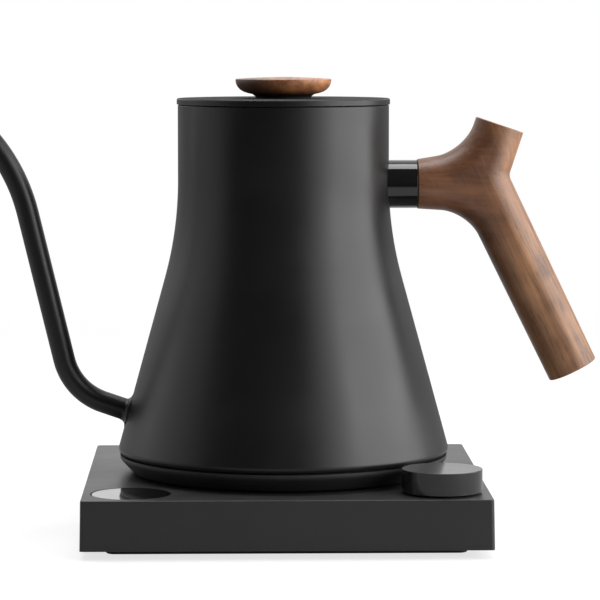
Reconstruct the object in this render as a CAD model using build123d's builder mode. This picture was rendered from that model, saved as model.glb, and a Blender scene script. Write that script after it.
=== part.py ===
"""Electric gooseneck kettle on a square power base. Millimetres, +Z up.

The origin is on the kettle's axis, at the surface the base stands on. The handle points to +X,
the spout to -X, and the user's side of the base, with its display and knob, faces -Y.
"""

import os
from math import cos, radians, sin, tan

from build123d import *

os.makedirs("parts", exist_ok=True)

# Power base: a square slab on a smaller plate and a foot ring
BASE_SIZE = 172.4
BASE_TOP = 24.8
SLAB_BOTTOM = 3.7
BASE_DRAFT = 1.0  # degrees
BASE_WALL = 2.4
TOP_PLATE = 2.8
PLATE_INSET = 10.5
FOOT_OUTER = 140.0
FOOT_WIDTH = 8.0
PANEL_XY = 65.45  # the display and the knob are this far from the axis in X and in Y
DISPLAY_R = 17.0
KNOB_R = 17.0
KNOB_BOTTOM = 25.6
KNOB_TOP = 35.1
KNOB_TRAVEL = 0.6

# Kettle body: a straight neck that flares into a cone
NECK_R = 46.2
RIM_Z = 186.4
BLEND_Z = 132.0  # where the neck's line and the cone's line would meet
CONE_ANGLE = 15.4
BLEND_LEG = 22.0  # straight length that the blend takes from each line
BODY_BOTTOM = 33.4
WALL = 1.0
MOUTH_R = 41.5
COLLAR_DEPTH = 9.0
FLOOR_Z = 43.0  # inner floor of the water chamber
COVER_BOTTOM = 25.3

# Spout: a bent tube of one diameter
TUBE_R = 4.8
TUBE_WALL = 0.8
SPOUT_CORNER = (-93.1, 60.4)  # X and Z where its first two straight runs would meet
SPOUT_RISE = 19.0  # degrees above level, where it leaves the body
SPOUT_LEAN = 13.5  # degrees from upright, in its long straight run
EXIT_LENGTH = 28.7  # from the tube's inner end to that corner
LOW_BEND_R = 26.5
LONG_RUN = 66.3
HIGH_BEND_R = 79.2
HIGH_TURN = 24.5
HOOK_R = 24.0
HOOK_TURN = 60.0
TIP_RUN = 7.0

# Handle
HANDLE_Z = 151.6
STEM_R = 10.5
STEM_END = 58.5
WOOD_THICK = 21.8

# Lid and its knob
LID_R = 46.65
LID_BOTTOM = 186.55
LID_TOP = 189.2
PAN_R = 39.6
PAN_FLOOR = 173.0
WOOD_KNOB_R = 21.0
WOOD_KNOB_EDGE = 197.6
WOOD_KNOB_TOP = 198.4
WOOD_KNOB_BOTTOM = 190.9

FIT = 0.05  # radial clearance of parts that sit in one another
GAP = 0.3  # clearance between curved faces that move past each other

slope = tan(radians(CONE_ANGLE))
half_angle = radians(CONE_ANGLE / 2)
blend_radius = BLEND_LEG / tan(half_angle)
cover_edge_z = BODY_BOTTOM - 0.2
top_inside = BASE_TOP - TOP_PLATE


def wall_radius(z, inset=0.0):
    """Radius of the cone at height z, moved inwards by inset along its normal."""
    return NECK_R + (BLEND_Z - z) * slope - inset / cos(radians(CONE_ANGLE))


def save(builder, name):
    """Label a finished sub-part and write it."""
    builder.part.label = name
    export_step(builder.part, f"parts/{name}.step")


def body_envelope(growth):
    """The body's outer form as a solid, grown by a little, to cut other parts to its curve."""
    vertex_z = BLEND_Z + growth * tan(half_angle)
    with BuildPart() as envelope:
        with BuildSketch(Plane.XZ):
            with BuildLine():
                Polyline((0, BODY_BOTTOM), (wall_radius(BODY_BOTTOM, -growth), BODY_BOTTOM))
                FilletPolyline(
                    (wall_radius(BODY_BOTTOM, -growth), BODY_BOTTOM),
                    (NECK_R + growth, vertex_z),
                    (NECK_R + growth, RIM_Z),
                    radius=blend_radius - growth,
                )
                Polyline((NECK_R + growth, RIM_Z), (0, RIM_Z), (0, BODY_BOTTOM))
            make_face()
        revolve(axis=Axis.Z)
    return envelope.part


# ---------------------------------------------------------------- kettle body
spout_dir = Vector(-cos(radians(SPOUT_RISE)), 0, sin(radians(SPOUT_RISE)))
spout_corner = Vector(SPOUT_CORNER[0], 0, SPOUT_CORNER[1])
spout_start = spout_corner - spout_dir * EXIT_LENGTH
spout_bore_plane = Plane(origin=spout_start - spout_dir * 6, z_dir=spout_dir)

with BuildPart() as kettle_body:
    with BuildSketch(Plane.XZ):
        with BuildLine():
            FilletPolyline(
                (MOUTH_R, RIM_Z - COLLAR_DEPTH),
                (MOUTH_R, RIM_Z),
                (NECK_R, RIM_Z),
                (NECK_R, BLEND_Z),
                (wall_radius(BODY_BOTTOM), BODY_BOTTOM),
                (70.2, BODY_BOTTOM),
                (70.2, BODY_BOTTOM + WALL),
                (wall_radius(BODY_BOTTOM + WALL, WALL), BODY_BOTTOM + WALL),
                (NECK_R - WALL, BLEND_Z - WALL * tan(half_angle)),
                (NECK_R - WALL, RIM_Z - WALL),
                (MOUTH_R + 0.8, RIM_Z - WALL),
                (MOUTH_R + 0.8, RIM_Z - COLLAR_DEPTH),
                radius=[0, 0.7, 0.6, blend_radius, 2.3, 0, 0, 1.3, blend_radius + WALL, 0, 0, 0],
                close=True,
            )
        make_face()
    revolve(axis=Axis.Z)
    with BuildSketch(spout_bore_plane):
        Circle(TUBE_R + FIT)
    extrude(amount=20, mode=Mode.SUBTRACT)
save(kettle_body, "kettle_body")

# Steel floor of the water chamber, welded in by its turned-down rim
PROBE_AT = (24, 14)
with BuildPart() as boiler_plate:
    with BuildSketch(Plane.XZ):
        with BuildLine():
            Polyline(
                (0, FLOOR_Z),
                (wall_radius(FLOOR_Z, WALL + FIT), FLOOR_Z),
                (wall_radius(37, WALL + FIT), 37),
                (wall_radius(37, 2 * WALL + FIT), 37),
                (wall_radius(FLOOR_Z - WALL, 2 * WALL + FIT), FLOOR_Z - WALL),
                (0, FLOOR_Z - WALL),
                close=True,
            )
        make_face()
    revolve(axis=Axis.Z)
    with Locations((*PROBE_AT, FLOOR_Z)):
        Hole(3.1)
save(boiler_plate, "boiler_plate")

# Aluminium plate that spreads the element's heat
HEAT_PLATE_BOTTOM = 39.4
with BuildPart() as heat_plate:
    with BuildSketch(Plane.XY.offset(HEAT_PLATE_BOTTOM)):
        Circle(50)
        with Locations(PROBE_AT):
            Circle(3.6, mode=Mode.SUBTRACT)
    extrude(amount=FLOOR_Z - WALL - FIT - HEAT_PLATE_BOTTOM)
    chamfer(heat_plate.faces().sort_by(Axis.Z)[0].outer_wire().edges(), 0.8)
save(heat_plate, "heat_plate")

# Sheathed heating element, a horseshoe under the heat plate, with a terminal pin at each end
ELEMENT_R = 40.0
SHEATH_R = 3.2
ELEMENT_Z = HEAT_PLATE_BOTTOM - SHEATH_R - 0.1
with BuildLine(Plane.XY.offset(ELEMENT_Z)) as horseshoe:
    CenterArc((0, 0), ELEMENT_R, -60, 300)
with BuildPart() as heating_element:
    with BuildSketch(Plane(origin=horseshoe.line @ 0, z_dir=horseshoe.line % 0)):
        Circle(SHEATH_R)
    sweep(path=horseshoe.line)
save(heating_element, "heating_element")

with BuildPart() as element_terminals:
    for end, outward in ((0, -1), (1, 1)):
        tip = Plane(origin=horseshoe.line @ end, z_dir=(horseshoe.line % end) * outward)
        with BuildSketch(tip.offset(0.1)):
            Circle(1.5)
        extrude(amount=6)
        with BuildSketch(tip.offset(6.1)):
            Rectangle(0.8, 4.8)
        extrude(amount=6)
save(element_terminals, "element_terminals")

# Temperature probe through the floor, with a flange on the water side
with BuildPart() as temperature_probe:
    with Locations((*PROBE_AT, 36.6)):
        Cylinder(3, 19.4, align=(Align.CENTER, Align.CENTER, Align.MIN))
    with Locations((*PROBE_AT, FLOOR_Z + FIT)):
        Cylinder(5, 1.2, align=(Align.CENTER, Align.CENTER, Align.MIN))
    fillet(temperature_probe.edges().sort_by(Axis.Z)[-1], 2.6)
save(temperature_probe, "temperature_probe")

# Two snap-disc thermal cut-outs pressed on the heat plate
with BuildPart() as thermal_cutouts:
    for at in ((-13, 12), (5, -17)):
        with BuildSketch(Plane.XY.offset(35.9)):
            with Locations(at):
                RectangleRounded(13, 13, 2)
        extrude(amount=1.4)
        with Locations((*at, 37.3)):
            Cylinder(5.5, 2.0, align=(Align.CENTER, Align.CENTER, Align.MIN))
save(thermal_cutouts, "thermal_cutouts")

# Plastic cover that closes the heater's space and carries the kettle on three pads
COVER_FLOOR = 2.0
POST_R = 57.0
POST_TOP = 36.0
SOCKET_R = 20.0
cover_inside = COVER_BOTTOM + COVER_FLOOR
with BuildPart() as bottom_cover:
    with BuildSketch(Plane.XZ):
        with BuildLine():
            FilletPolyline(
                (SOCKET_R + GAP, COVER_BOTTOM),
                (66.3, COVER_BOTTOM),
                (72.0, 31.5),
                (72.0, cover_edge_z),
                (69.9, cover_edge_z),
                (69.9, 36.6),
                (67.9, 36.6),
                (67.9, 31.0),
                (64.6, cover_inside),
                (SOCKET_R + GAP, cover_inside),
                radius=[0, 3.0, 2.5, 0, 0, 0.4, 0.4, 1, 1, 0],
                close=True,
            )
        make_face()
    revolve(axis=Axis.Z)
    with BuildSketch(Plane.XY.offset(cover_inside)):
        with PolarLocations(POST_R, 3, start_angle=30):
            Circle(4)
    extrude(amount=POST_TOP - cover_inside)
    with PolarLocations(POST_R, 3, start_angle=30):
        with Locations((0, 0, POST_TOP)):
            Hole(1.65)
    with BuildSketch(Plane.XY.offset(COVER_BOTTOM)):
        with PolarLocations(POST_R, 3, start_angle=30):
            Circle(3.2)
    extrude(amount=3.4, mode=Mode.SUBTRACT)
    with BuildSketch(Plane.XY.offset(COVER_BOTTOM)):
        with PolarLocations(POST_R, 3, start_angle=90):
            Circle(3.6)
    extrude(amount=1.2, mode=Mode.SUBTRACT)
save(bottom_cover, "bottom_cover")

with BuildPart() as kettle_pads:
    with BuildSketch(Plane.XY.offset(BASE_TOP + FIT)):
        with PolarLocations(POST_R, 3, start_angle=90):
            Circle(3.5)
    extrude(amount=1.6)
    chamfer(kettle_pads.faces().filter_by(Axis.Z).group_by(Axis.Z)[0].edges(), 0.3)
save(kettle_pads, "kettle_pads")

# Steel standoffs welded under the floor take the cover's screws
with BuildPart() as cover_standoffs:
    with BuildSketch(Plane.XY.offset(POST_TOP + 0.2)):
        with PolarLocations(POST_R, 3, start_angle=30):
            RegularPolygon(3.8, 6)
            Circle(1.3, mode=Mode.SUBTRACT)
    extrude(amount=FLOOR_Z - WALL - FIT - POST_TOP - 0.2)
save(cover_standoffs, "cover_standoffs")

with BuildPart() as bottom_cover_screws:
    for screw in PolarLocations(POST_R, 3, start_angle=30):
        x, y = screw.position.X, screw.position.Y
        with Locations((x, y, 26.9)):
            Cylinder(2.9, 1.7, align=(Align.CENTER, Align.CENTER, Align.MIN))
        with Locations((x, y, 28.6)):
            Cylinder(1.25, 11.4, align=(Align.CENTER, Align.CENTER, Align.MIN))
        with Locations((x, y, 26.9)):
            Box(4.0, 0.7, 1.6, mode=Mode.SUBTRACT)
            Box(0.7, 4.0, 1.6, mode=Mode.SUBTRACT)
save(bottom_cover_screws, "bottom_cover_screws")

# Silicone ring between the cover's collar and the body's turned-in edge
with BuildPart() as cover_seal:
    with BuildSketch(Plane.XY.offset(BODY_BOTTOM + WALL + FIT)):
        Circle(70.75)
        Circle(69.95, mode=Mode.SUBTRACT)
    extrude(amount=1.7)
save(cover_seal, "cover_seal")

# ---------------------------------------------------------------- spout
# Out of the body, round the low bend, up the long run, and over through two bends to the tip
low_turn = 90 - SPOUT_RISE - SPOUT_LEAN
low_leg = LOW_BEND_R * tan(radians(low_turn / 2))
with BuildLine(Plane.XZ) as spout_path:
    exit_run = PolarLine((spout_start.X, spout_start.Z), EXIT_LENGTH - low_leg, 180 - SPOUT_RISE)
    low_bend = JernArc(exit_run @ 1, exit_run % 1, LOW_BEND_R, -low_turn)
    long_run = PolarLine(low_bend @ 1, LONG_RUN, direction=low_bend % 1)
    high_bend = JernArc(long_run @ 1, long_run % 1, HIGH_BEND_R, HIGH_TURN)
    hook = JernArc(high_bend @ 1, high_bend % 1, HOOK_R, HOOK_TURN)
    tip_run = PolarLine(hook @ 1, TIP_RUN, direction=hook % 1)
with BuildPart() as spout:
    with BuildSketch(Plane(origin=spout_start, z_dir=spout_dir)):
        Circle(TUBE_R)
        Circle(TUBE_R - TUBE_WALL, mode=Mode.SUBTRACT)
    sweep(path=spout_path.line)
save(spout, "spout")

# ---------------------------------------------------------------- handle
# Steel saddle with its threaded stud, welded on the neck
with BuildPart() as handle_saddle:
    with BuildSketch(Plane.YZ.offset(NECK_R - 4)):
        with Locations((0, HANDLE_Z)):
            Circle(8)
    extrude(amount=5.2)
    with BuildSketch(Plane.YZ.offset(NECK_R)):
        with Locations((0, HANDLE_Z)):
            Circle(3)
    extrude(amount=26.5)
    add(body_envelope(FIT), mode=Mode.SUBTRACT)
    chamfer(handle_saddle.faces().sort_by(Axis.X)[-1].edges(), 0.6)
save(handle_saddle, "handle_saddle")

# Metal stem that holds the wood off the hot neck
with BuildPart() as handle_stem:
    with BuildSketch(Plane.YZ.offset(NECK_R - 4)):
        with Locations((0, HANDLE_Z)):
            Circle(STEM_R)
    extrude(amount=STEM_END - NECK_R + 4)
    fillet(handle_stem.faces().sort_by(Axis.X)[-1].edges(), 0.3)
    with BuildSketch(Plane.YZ.offset(NECK_R - 4)):
        with Locations((0, HANDLE_Z)):
            Circle(8.3)
    extrude(amount=6.6, mode=Mode.SUBTRACT)
    with BuildSketch(Plane.YZ.offset(NECK_R)):
        with Locations((0, HANDLE_Z)):
            Circle(3.2)
    extrude(amount=20, mode=Mode.SUBTRACT)
    add(body_envelope(FIT), mode=Mode.SUBTRACT)
save(handle_stem, "handle_stem")

# Brass insert glued in the wood, which the stud screws into
WOOD_START = STEM_END + 0.1
with BuildPart() as handle_insert:
    with BuildSketch(Plane.YZ.offset(WOOD_START + 0.6)):
        with Locations((0, HANDLE_Z)):
            Circle(5)
            Circle(3 + FIT, mode=Mode.SUBTRACT)
    extrude(amount=15)
save(handle_insert, "handle_insert")

# Walnut grip: a short neck that forks into a thumb stub above and a long grip below
neck_low = (WOOD_START, HANDLE_Z - 10.8)
neck_high = (WOOD_START, HANDLE_Z + 10.9)
grip_fork = (80.7, 139.4)
grip_end_inner = (117.7, 64.7)
grip_end_outer = (137.7, 74.7)
kink = (99.0, 155.3)
stub_end_outer = (105.2, 174.1)
stub_end_inner = (84.6, 181.1)
stub_fork = (79.4, 165.9)
WOOD_ROUND = WOOD_THICK / 2 - 0.3
with BuildPart() as handle:
    with BuildSketch(Plane.XZ):
        with BuildLine():
            FilletPolyline(
                neck_low,
                grip_fork,
                grip_end_inner,
                grip_end_outer,
                kink,
                stub_end_outer,
                stub_end_inner,
                stub_fork,
                neck_high,
                radius=[0, 20, 0, 0, 4, 0, 0, 21, 0],
                close=True,
            )
        make_face()
    extrude(amount=WOOD_THICK / 2, both=True)
    flanks = handle.faces().filter_by(Axis.Y)
    end_cuts = [
        edge
        for edge in flanks.edges()
        if any(
            ((edge @ 0.5) - Vector((a[0] + b[0]) / 2, (edge @ 0.5).Y, (a[1] + b[1]) / 2)).length < 0.01
            for a, b in (
                (grip_end_inner, grip_end_outer),
                (stub_end_outer, stub_end_inner),
                (neck_high, neck_low),
            )
        )
    ]
    long_edges = [edge for edge in flanks.edges() if edge not in end_cuts]
    fillet(long_edges, WOOD_ROUND)
    with BuildSketch(Plane.YZ.offset(WOOD_START)):
        with Locations((0, HANDLE_Z)):
            Circle(5 + FIT)
    extrude(amount=16, mode=Mode.SUBTRACT)
save(handle, "handle")

# ---------------------------------------------------------------- lid
# Silicone ring that grips the mouth's collar
with BuildPart() as lid_seal:
    with BuildSketch(Plane.XZ):
        with BuildLine():
            Polyline(
                (PAN_R + FIT, 177.6),
                (PAN_R + 0.9, 177.6),
                (PAN_R + 1.0, 178.6),
                (MOUTH_R - GAP, 179.2),
                (MOUTH_R - GAP, 179.8),
                (PAN_R + 1.0, 180.4),
                (PAN_R + 1.0, 181.6),
                (MOUTH_R - GAP, 182.2),
                (MOUTH_R - GAP, 182.8),
                (PAN_R + 0.9, 183.6),
                (PAN_R + FIT, 183.6),
                close=True,
            )
        make_face()
    revolve(axis=Axis.Z)
save(lid_seal, "lid_seal")

# Pressed steel disc with a turned-down rim and three steam holes
STEAM_HOLE_R = 31.0
with BuildPart() as lid_disc:
    with BuildSketch(Plane.XZ):
        with BuildLine():
            FilletPolyline(
                (0, LID_TOP),
                (LID_R, LID_TOP),
                (LID_R, LID_BOTTOM),
                (LID_R - WALL, LID_BOTTOM),
                (LID_R - WALL, LID_TOP - WALL),
                (0, LID_TOP - WALL),
                radius=[0, 0.7, 0.2, 0.2, 0, 0],
                close=True,
            )
        make_face()
    revolve(axis=Axis.Z)
    with Locations((0, 0, LID_TOP)):
        Hole(2.2)
    with Locations((0, 0, LID_TOP)):
        with PolarLocations(STEAM_HOLE_R, 3, start_angle=168):
            Hole(1.2)
save(lid_disc, "lid_disc")

# Steel pan under the disc, which the seal rides on
with BuildPart() as lid_pan:
    with BuildSketch(Plane.XZ):
        with BuildLine():
            FilletPolyline(
                (0, PAN_FLOOR),
                (PAN_R, PAN_FLOOR),
                (PAN_R, 187.1),
                (LID_R - 1.25, 187.1),
                (LID_R - 1.25, LID_TOP - WALL - FIT),
                (PAN_R - 0.8, LID_TOP - WALL - FIT),
                (PAN_R - 0.8, PAN_FLOOR + 0.8),
                (0, PAN_FLOOR + 0.8),
                radius=[0, 2.0, 0, 0, 0, 0, 1.2, 0],
                close=True,
            )
        make_face()
    revolve(axis=Axis.Z)
    with Locations((0, 0, PAN_FLOOR + 0.8)):
        with PolarLocations(STEAM_HOLE_R, 3, start_angle=168):
            Hole(1.2)
save(lid_pan, "lid_pan")

# Black plastic collar between the lid and its wooden knob
with BuildPart() as lid_knob_collar:
    with BuildSketch(Plane.XZ):
        with BuildLine():
            Polyline(
                (2.3, LID_TOP + FIT),
                (12.0, LID_TOP + FIT),
                (12.2, LID_TOP + 0.7),
                (13.4, WOOD_KNOB_BOTTOM - FIT),
                (2.3, WOOD_KNOB_BOTTOM - FIT),
                close=True,
            )
        make_face()
    revolve(axis=Axis.Z)
save(lid_knob_collar, "lid_knob_collar")

# Turned walnut knob, slightly domed, its underside curving in
with BuildPart() as lid_knob:
    with BuildSketch(Plane.XZ):
        with BuildLine():
            ThreePointArc(
                (0, WOOD_KNOB_TOP),
                (10.3, WOOD_KNOB_TOP - 0.2),
                (WOOD_KNOB_R - 0.5, WOOD_KNOB_EDGE),
            )
            RadiusArc((WOOD_KNOB_R - 0.5, WOOD_KNOB_EDGE), (WOOD_KNOB_R, WOOD_KNOB_EDGE - 0.6), 0.7)
            Line((WOOD_KNOB_R, WOOD_KNOB_EDGE - 0.6), (WOOD_KNOB_R, WOOD_KNOB_EDGE - 2.6))
            Spline(
                (WOOD_KNOB_R, WOOD_KNOB_EDGE - 2.6),
                (18.9, 192.9),
                (14.0, WOOD_KNOB_BOTTOM),
                tangents=[(0, -1), (-1, -0.2)],
            )
            Line((14.0, WOOD_KNOB_BOTTOM), (0, WOOD_KNOB_BOTTOM))
            Line((0, WOOD_KNOB_BOTTOM), (0, WOOD_KNOB_TOP))
        make_face()
    revolve(axis=Axis.Z)
    with Locations((0, 0, WOOD_KNOB_BOTTOM)):
        Cylinder(
            3.2 + FIT, 5.6, align=(Align.CENTER, Align.CENTER, Align.MIN), mode=Mode.SUBTRACT
        )
save(lid_knob, "lid_knob")

with BuildPart() as lid_knob_insert:
    with BuildSketch(Plane.XY.offset(WOOD_KNOB_BOTTOM + 0.2)):
        Circle(3.2)
        Circle(2 + FIT, mode=Mode.SUBTRACT)
    extrude(amount=5.2)
save(lid_knob_insert, "lid_knob_insert")

with BuildPart() as lid_screw:
    with BuildSketch(Plane.XY.offset(LID_TOP - WALL - FIT)):
        Circle(3.8)
    extrude(amount=-2.2)
    with BuildSketch(Plane.XY.offset(LID_TOP - WALL - FIT)):
        Circle(2)
    extrude(amount=7.6)
    with BuildSketch(Plane.XY.offset(LID_TOP - WALL - FIT - 2.2)):
        RegularPolygon(1.5, 6)
    extrude(amount=1.4, mode=Mode.SUBTRACT)
save(lid_screw, "lid_screw")

# ---------------------------------------------------------------- kettle socket
# Round socket in the kettle's underside that drops over the base's plug
PLUG_R = 15.5
PLUG_TOP = 33.0
SOCKET_ROOF = 33.5
SOCKET_TOP = 35.5
RINGS = ((8.3, 8.9), (12.5, 13.1))  # inner and outer radius of the socket's two contact rings
with BuildPart() as connector_socket:
    with BuildSketch(Plane.XZ):
        with BuildLine():
            Polyline(
                (0, SOCKET_ROOF),
                (PLUG_R + 0.4, SOCKET_ROOF),
                (PLUG_R + 0.4, 26.4),
                (PLUG_R + 1.2, COVER_BOTTOM + 0.3),
                (SOCKET_R, COVER_BOTTOM + 0.3),
                (SOCKET_R, cover_inside + 0.3),
                (23.5, cover_inside + 0.3),
                (23.5, cover_inside + 2.0),
                (SOCKET_R, cover_inside + 2.0),
                (SOCKET_R, SOCKET_TOP),
                (0, SOCKET_TOP),
                close=True,
            )
        make_face()
    revolve(axis=Axis.Z)
save(connector_socket, "connector_socket")

with BuildPart() as socket_contacts:
    with BuildSketch(Plane.XY.offset(SOCKET_ROOF - FIT)):
        Circle(2)
    extrude(amount=-6.4)
    chamfer(socket_contacts.edges().sort_by(Axis.Z)[0], 0.8)
    for inner, outer in RINGS:
        with BuildSketch(Plane.XY.offset(SOCKET_ROOF - FIT)):
            Circle(outer)
            Circle(inner, mode=Mode.SUBTRACT)
        extrude(amount=-5.0)
save(socket_contacts, "socket_contacts")

# ---------------------------------------------------------------- power base
DISPLAY_AT = (-PANEL_XY, -PANEL_XY)
KNOB_AT = (PANEL_XY, -PANEL_XY)
GLAND_Z = 13.6
GLAND_R = 5.6
CORD_R = 3.4
SWITCH_X = 46.0
SWITCH_TRAVEL = 4.0
SWITCH_Z = 12.5
housing_screws = ((-40, -46), (40, -46), (-54, 54), (54, 54))
half = BASE_SIZE / 2
rear_inside = half - BASE_WALL
rear_top = half - (BASE_TOP - SLAB_BOTTOM) * tan(radians(BASE_DRAFT))

with BuildPart() as base_housing:
    with BuildSketch(Plane.XY.offset(SLAB_BOTTOM)):
        RectangleRounded(BASE_SIZE, BASE_SIZE, 1.6)
    extrude(amount=BASE_TOP - SLAB_BOTTOM, taper=BASE_DRAFT)
    fillet(base_housing.faces().sort_by(Axis.Z)[-1].edges(), 0.5)
    with BuildSketch(Plane.XY.offset(SLAB_BOTTOM)):
        RectangleRounded(2 * rear_inside, 2 * rear_inside, 1.0)
    extrude(amount=top_inside - SLAB_BOTTOM, taper=BASE_DRAFT, mode=Mode.SUBTRACT)
    # posts for the bottom plate's screws
    with BuildSketch(Plane.XY.offset(6.2)):
        with Locations(*housing_screws):
            Circle(4)
    extrude(amount=top_inside - 6.2)
    with BuildSketch(Plane.XY.offset(6.2)):
        with Locations(*housing_screws):
            Circle(1.3)
    extrude(amount=12, mode=Mode.SUBTRACT)
    # plug opening, display seat and the knob's shaft hole
    with BuildSketch(Plane.XY.offset(BASE_TOP)):
        Circle(PLUG_R + 0.6)
    extrude(amount=-TOP_PLATE, mode=Mode.SUBTRACT)
    with BuildSketch(Plane.XY.offset(BASE_TOP)):
        with Locations(DISPLAY_AT):
            Circle(DISPLAY_R)
    extrude(amount=-1.9, mode=Mode.SUBTRACT)
    with BuildSketch(Plane.XY.offset(BASE_TOP)):
        with Locations(DISPLAY_AT):
            Circle(DISPLAY_R - 2.5)
        with Locations(KNOB_AT):
            Circle(4.6)
    extrude(amount=-TOP_PLATE, mode=Mode.SUBTRACT)
    with BuildSketch(Plane.XY.offset(top_inside)):
        with Locations((-25, 0), (25, 0)):
            Circle(1.3)
    extrude(amount=2.0, mode=Mode.SUBTRACT)
    # cord gland hole and the hold switch's slot in the rear wall
    with BuildSketch(Plane.XZ.offset(-half)):
        with Locations((0, GLAND_Z)):
            Circle(GLAND_R + FIT)
    extrude(amount=6, mode=Mode.SUBTRACT)
    with BuildSketch(Plane.XZ.offset(-half)):
        with Locations((SWITCH_X + SWITCH_TRAVEL / 2, SWITCH_Z)):
            RectangleRounded(14, 7, 1)
    extrude(amount=1.5, mode=Mode.SUBTRACT)
    with BuildSketch(Plane.XZ.offset(-half)):
        with Locations((SWITCH_X + SWITCH_TRAVEL / 2, SWITCH_Z)):
            Rectangle(3 + SWITCH_TRAVEL, 2.6)
    extrude(amount=6, mode=Mode.SUBTRACT)
save(base_housing, "base_housing")

# Bottom plate: its flange sits inside the housing and its tray stands proud below
TRAY = BASE_SIZE - 2 * PLATE_INSET
TRAY_BOTTOM = 0.8
BOARD_Z = 8.6
PANEL_BOARD_Z = 15.8
board_posts = ((-40, -22), (40, -22), (-40, 54), (40, 54))
panel_posts = ((-30, -66), (30, -66), (-48, -70), (78, -56))
with BuildPart() as base_bottom:
    with BuildSketch(Plane.XY.offset(SLAB_BOTTOM)):
        RectangleRounded(2 * rear_inside - 0.4, 2 * rear_inside - 0.4, 1.0)
    extrude(amount=2.0)
    with BuildSketch(Plane.XY.offset(TRAY_BOTTOM)):
        RectangleRounded(TRAY, TRAY, 4)
    extrude(amount=SLAB_BOTTOM - TRAY_BOTTOM)
    fillet(base_bottom.faces().sort_by(Axis.Z)[0].edges(), 0.6)
    with BuildSketch(Plane.XY.offset(SLAB_BOTTOM + 2.0)):
        RectangleRounded(TRAY - 5, TRAY - 5, 2)
    extrude(amount=-2.6, mode=Mode.SUBTRACT)
    with BuildSketch(Plane.XY.offset(SLAB_BOTTOM - 0.6)):
        with Locations(*board_posts):
            Circle(3)
    extrude(amount=BOARD_Z - SLAB_BOTTOM + 0.5)
    with BuildSketch(Plane.XY.offset(SLAB_BOTTOM - 0.6)):
        with Locations(*panel_posts):
            Circle(2.2)
    extrude(amount=PANEL_BOARD_Z - SLAB_BOTTOM + 0.5)
    with BuildSketch(Plane.XY.offset(SLAB_BOTTOM - 0.6)):
        with Locations(*housing_screws):
            Circle(4)
    extrude(amount=2.9)
    with BuildSketch(Plane.XY.offset(TRAY_BOTTOM)):
        with Locations(*housing_screws):
            Circle(3.2)
    extrude(amount=2.6, mode=Mode.SUBTRACT)
    with BuildSketch(Plane.XY.offset(TRAY_BOTTOM)):
        with Locations(*housing_screws):
            Circle(1.6)
    extrude(amount=6, mode=Mode.SUBTRACT)
    # groove for the foot ring, and a row of drain slots
    with BuildSketch(Plane.XY.offset(TRAY_BOTTOM)):
        RectangleRounded(FOOT_OUTER + 0.2, FOOT_OUTER + 0.2, 6)
        RectangleRounded(
            FOOT_OUTER - 2 * FOOT_WIDTH - 0.2, FOOT_OUTER - 2 * FOOT_WIDTH - 0.2, 3, mode=Mode.SUBTRACT
        )
    extrude(amount=0.8, mode=Mode.SUBTRACT)
    with BuildSketch(Plane.XY.offset(TRAY_BOTTOM)):
        with Locations((0, -38)):
            with GridLocations(5, 1, 7, 1):
                SlotOverall(12, 1.6, rotation=90)
    extrude(amount=4, mode=Mode.SUBTRACT)
save(base_bottom, "base_bottom")

# One silicone foot ring, let into the plate
with BuildPart() as foot_ring:
    with BuildSketch(Plane.XY):
        RectangleRounded(FOOT_OUTER, FOOT_OUTER, 6)
        RectangleRounded(FOOT_OUTER - 2 * FOOT_WIDTH, FOOT_OUTER - 2 * FOOT_WIDTH, 3, mode=Mode.SUBTRACT)
    extrude(amount=TRAY_BOTTOM + 0.75)
    fillet(foot_ring.faces().sort_by(Axis.Z)[0].edges(), 0.3)
save(foot_ring, "foot_ring")

with BuildPart() as base_screws:
    for x, y in housing_screws:
        with Locations((x, y, 1.7)):
            Cylinder(2.8, 1.7, align=(Align.CENTER, Align.CENTER, Align.MIN))
        with Locations((x, y, 3.4)):
            Cylinder(1.25, 12, align=(Align.CENTER, Align.CENTER, Align.MIN))
        with Locations((x, y, 1.7)):
            Box(4.0, 0.7, 1.6, mode=Mode.SUBTRACT)
            Box(0.7, 4.0, 1.6, mode=Mode.SUBTRACT)
save(base_screws, "base_screws")

# Round plug that the kettle turns on, with a groove for each contact ring
PLUG_FLANGE = 18.4
with BuildPart() as base_connector:
    with BuildSketch(Plane.XY.offset(PLUG_FLANGE)):
        Circle(21.5)
        SlotOverall(60, 11)
        with Locations((-25, 0), (25, 0)):
            Circle(1.6, mode=Mode.SUBTRACT)
    extrude(amount=top_inside - FIT - PLUG_FLANGE)
    with BuildSketch(Plane.XY.offset(PLUG_FLANGE)):
        Circle(PLUG_R)
    extrude(amount=PLUG_TOP - PLUG_FLANGE)
    fillet(base_connector.faces().sort_by(Axis.Z)[-1].edges(), 1.0)
    with BuildSketch(Plane.XY.offset(PLUG_TOP)):
        Circle(2.8)
    extrude(amount=-7.6, mode=Mode.SUBTRACT)
    for inner, outer in RINGS:
        with BuildSketch(Plane.XY.offset(PLUG_TOP)):
            Circle(outer + 0.6)
            Circle(inner - 0.6, mode=Mode.SUBTRACT)
        extrude(amount=-6.4, mode=Mode.SUBTRACT)
    for radius, angle in ((0, 0), (8.6, 90), (12.8, 210)):
        with BuildSketch(Plane.XY.offset(PLUG_FLANGE)):
            with Locations((radius * cos(radians(angle)), radius * sin(radians(angle)))):
                Circle(0.6)
        extrude(amount=10, mode=Mode.SUBTRACT)
save(base_connector, "base_connector")

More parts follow.
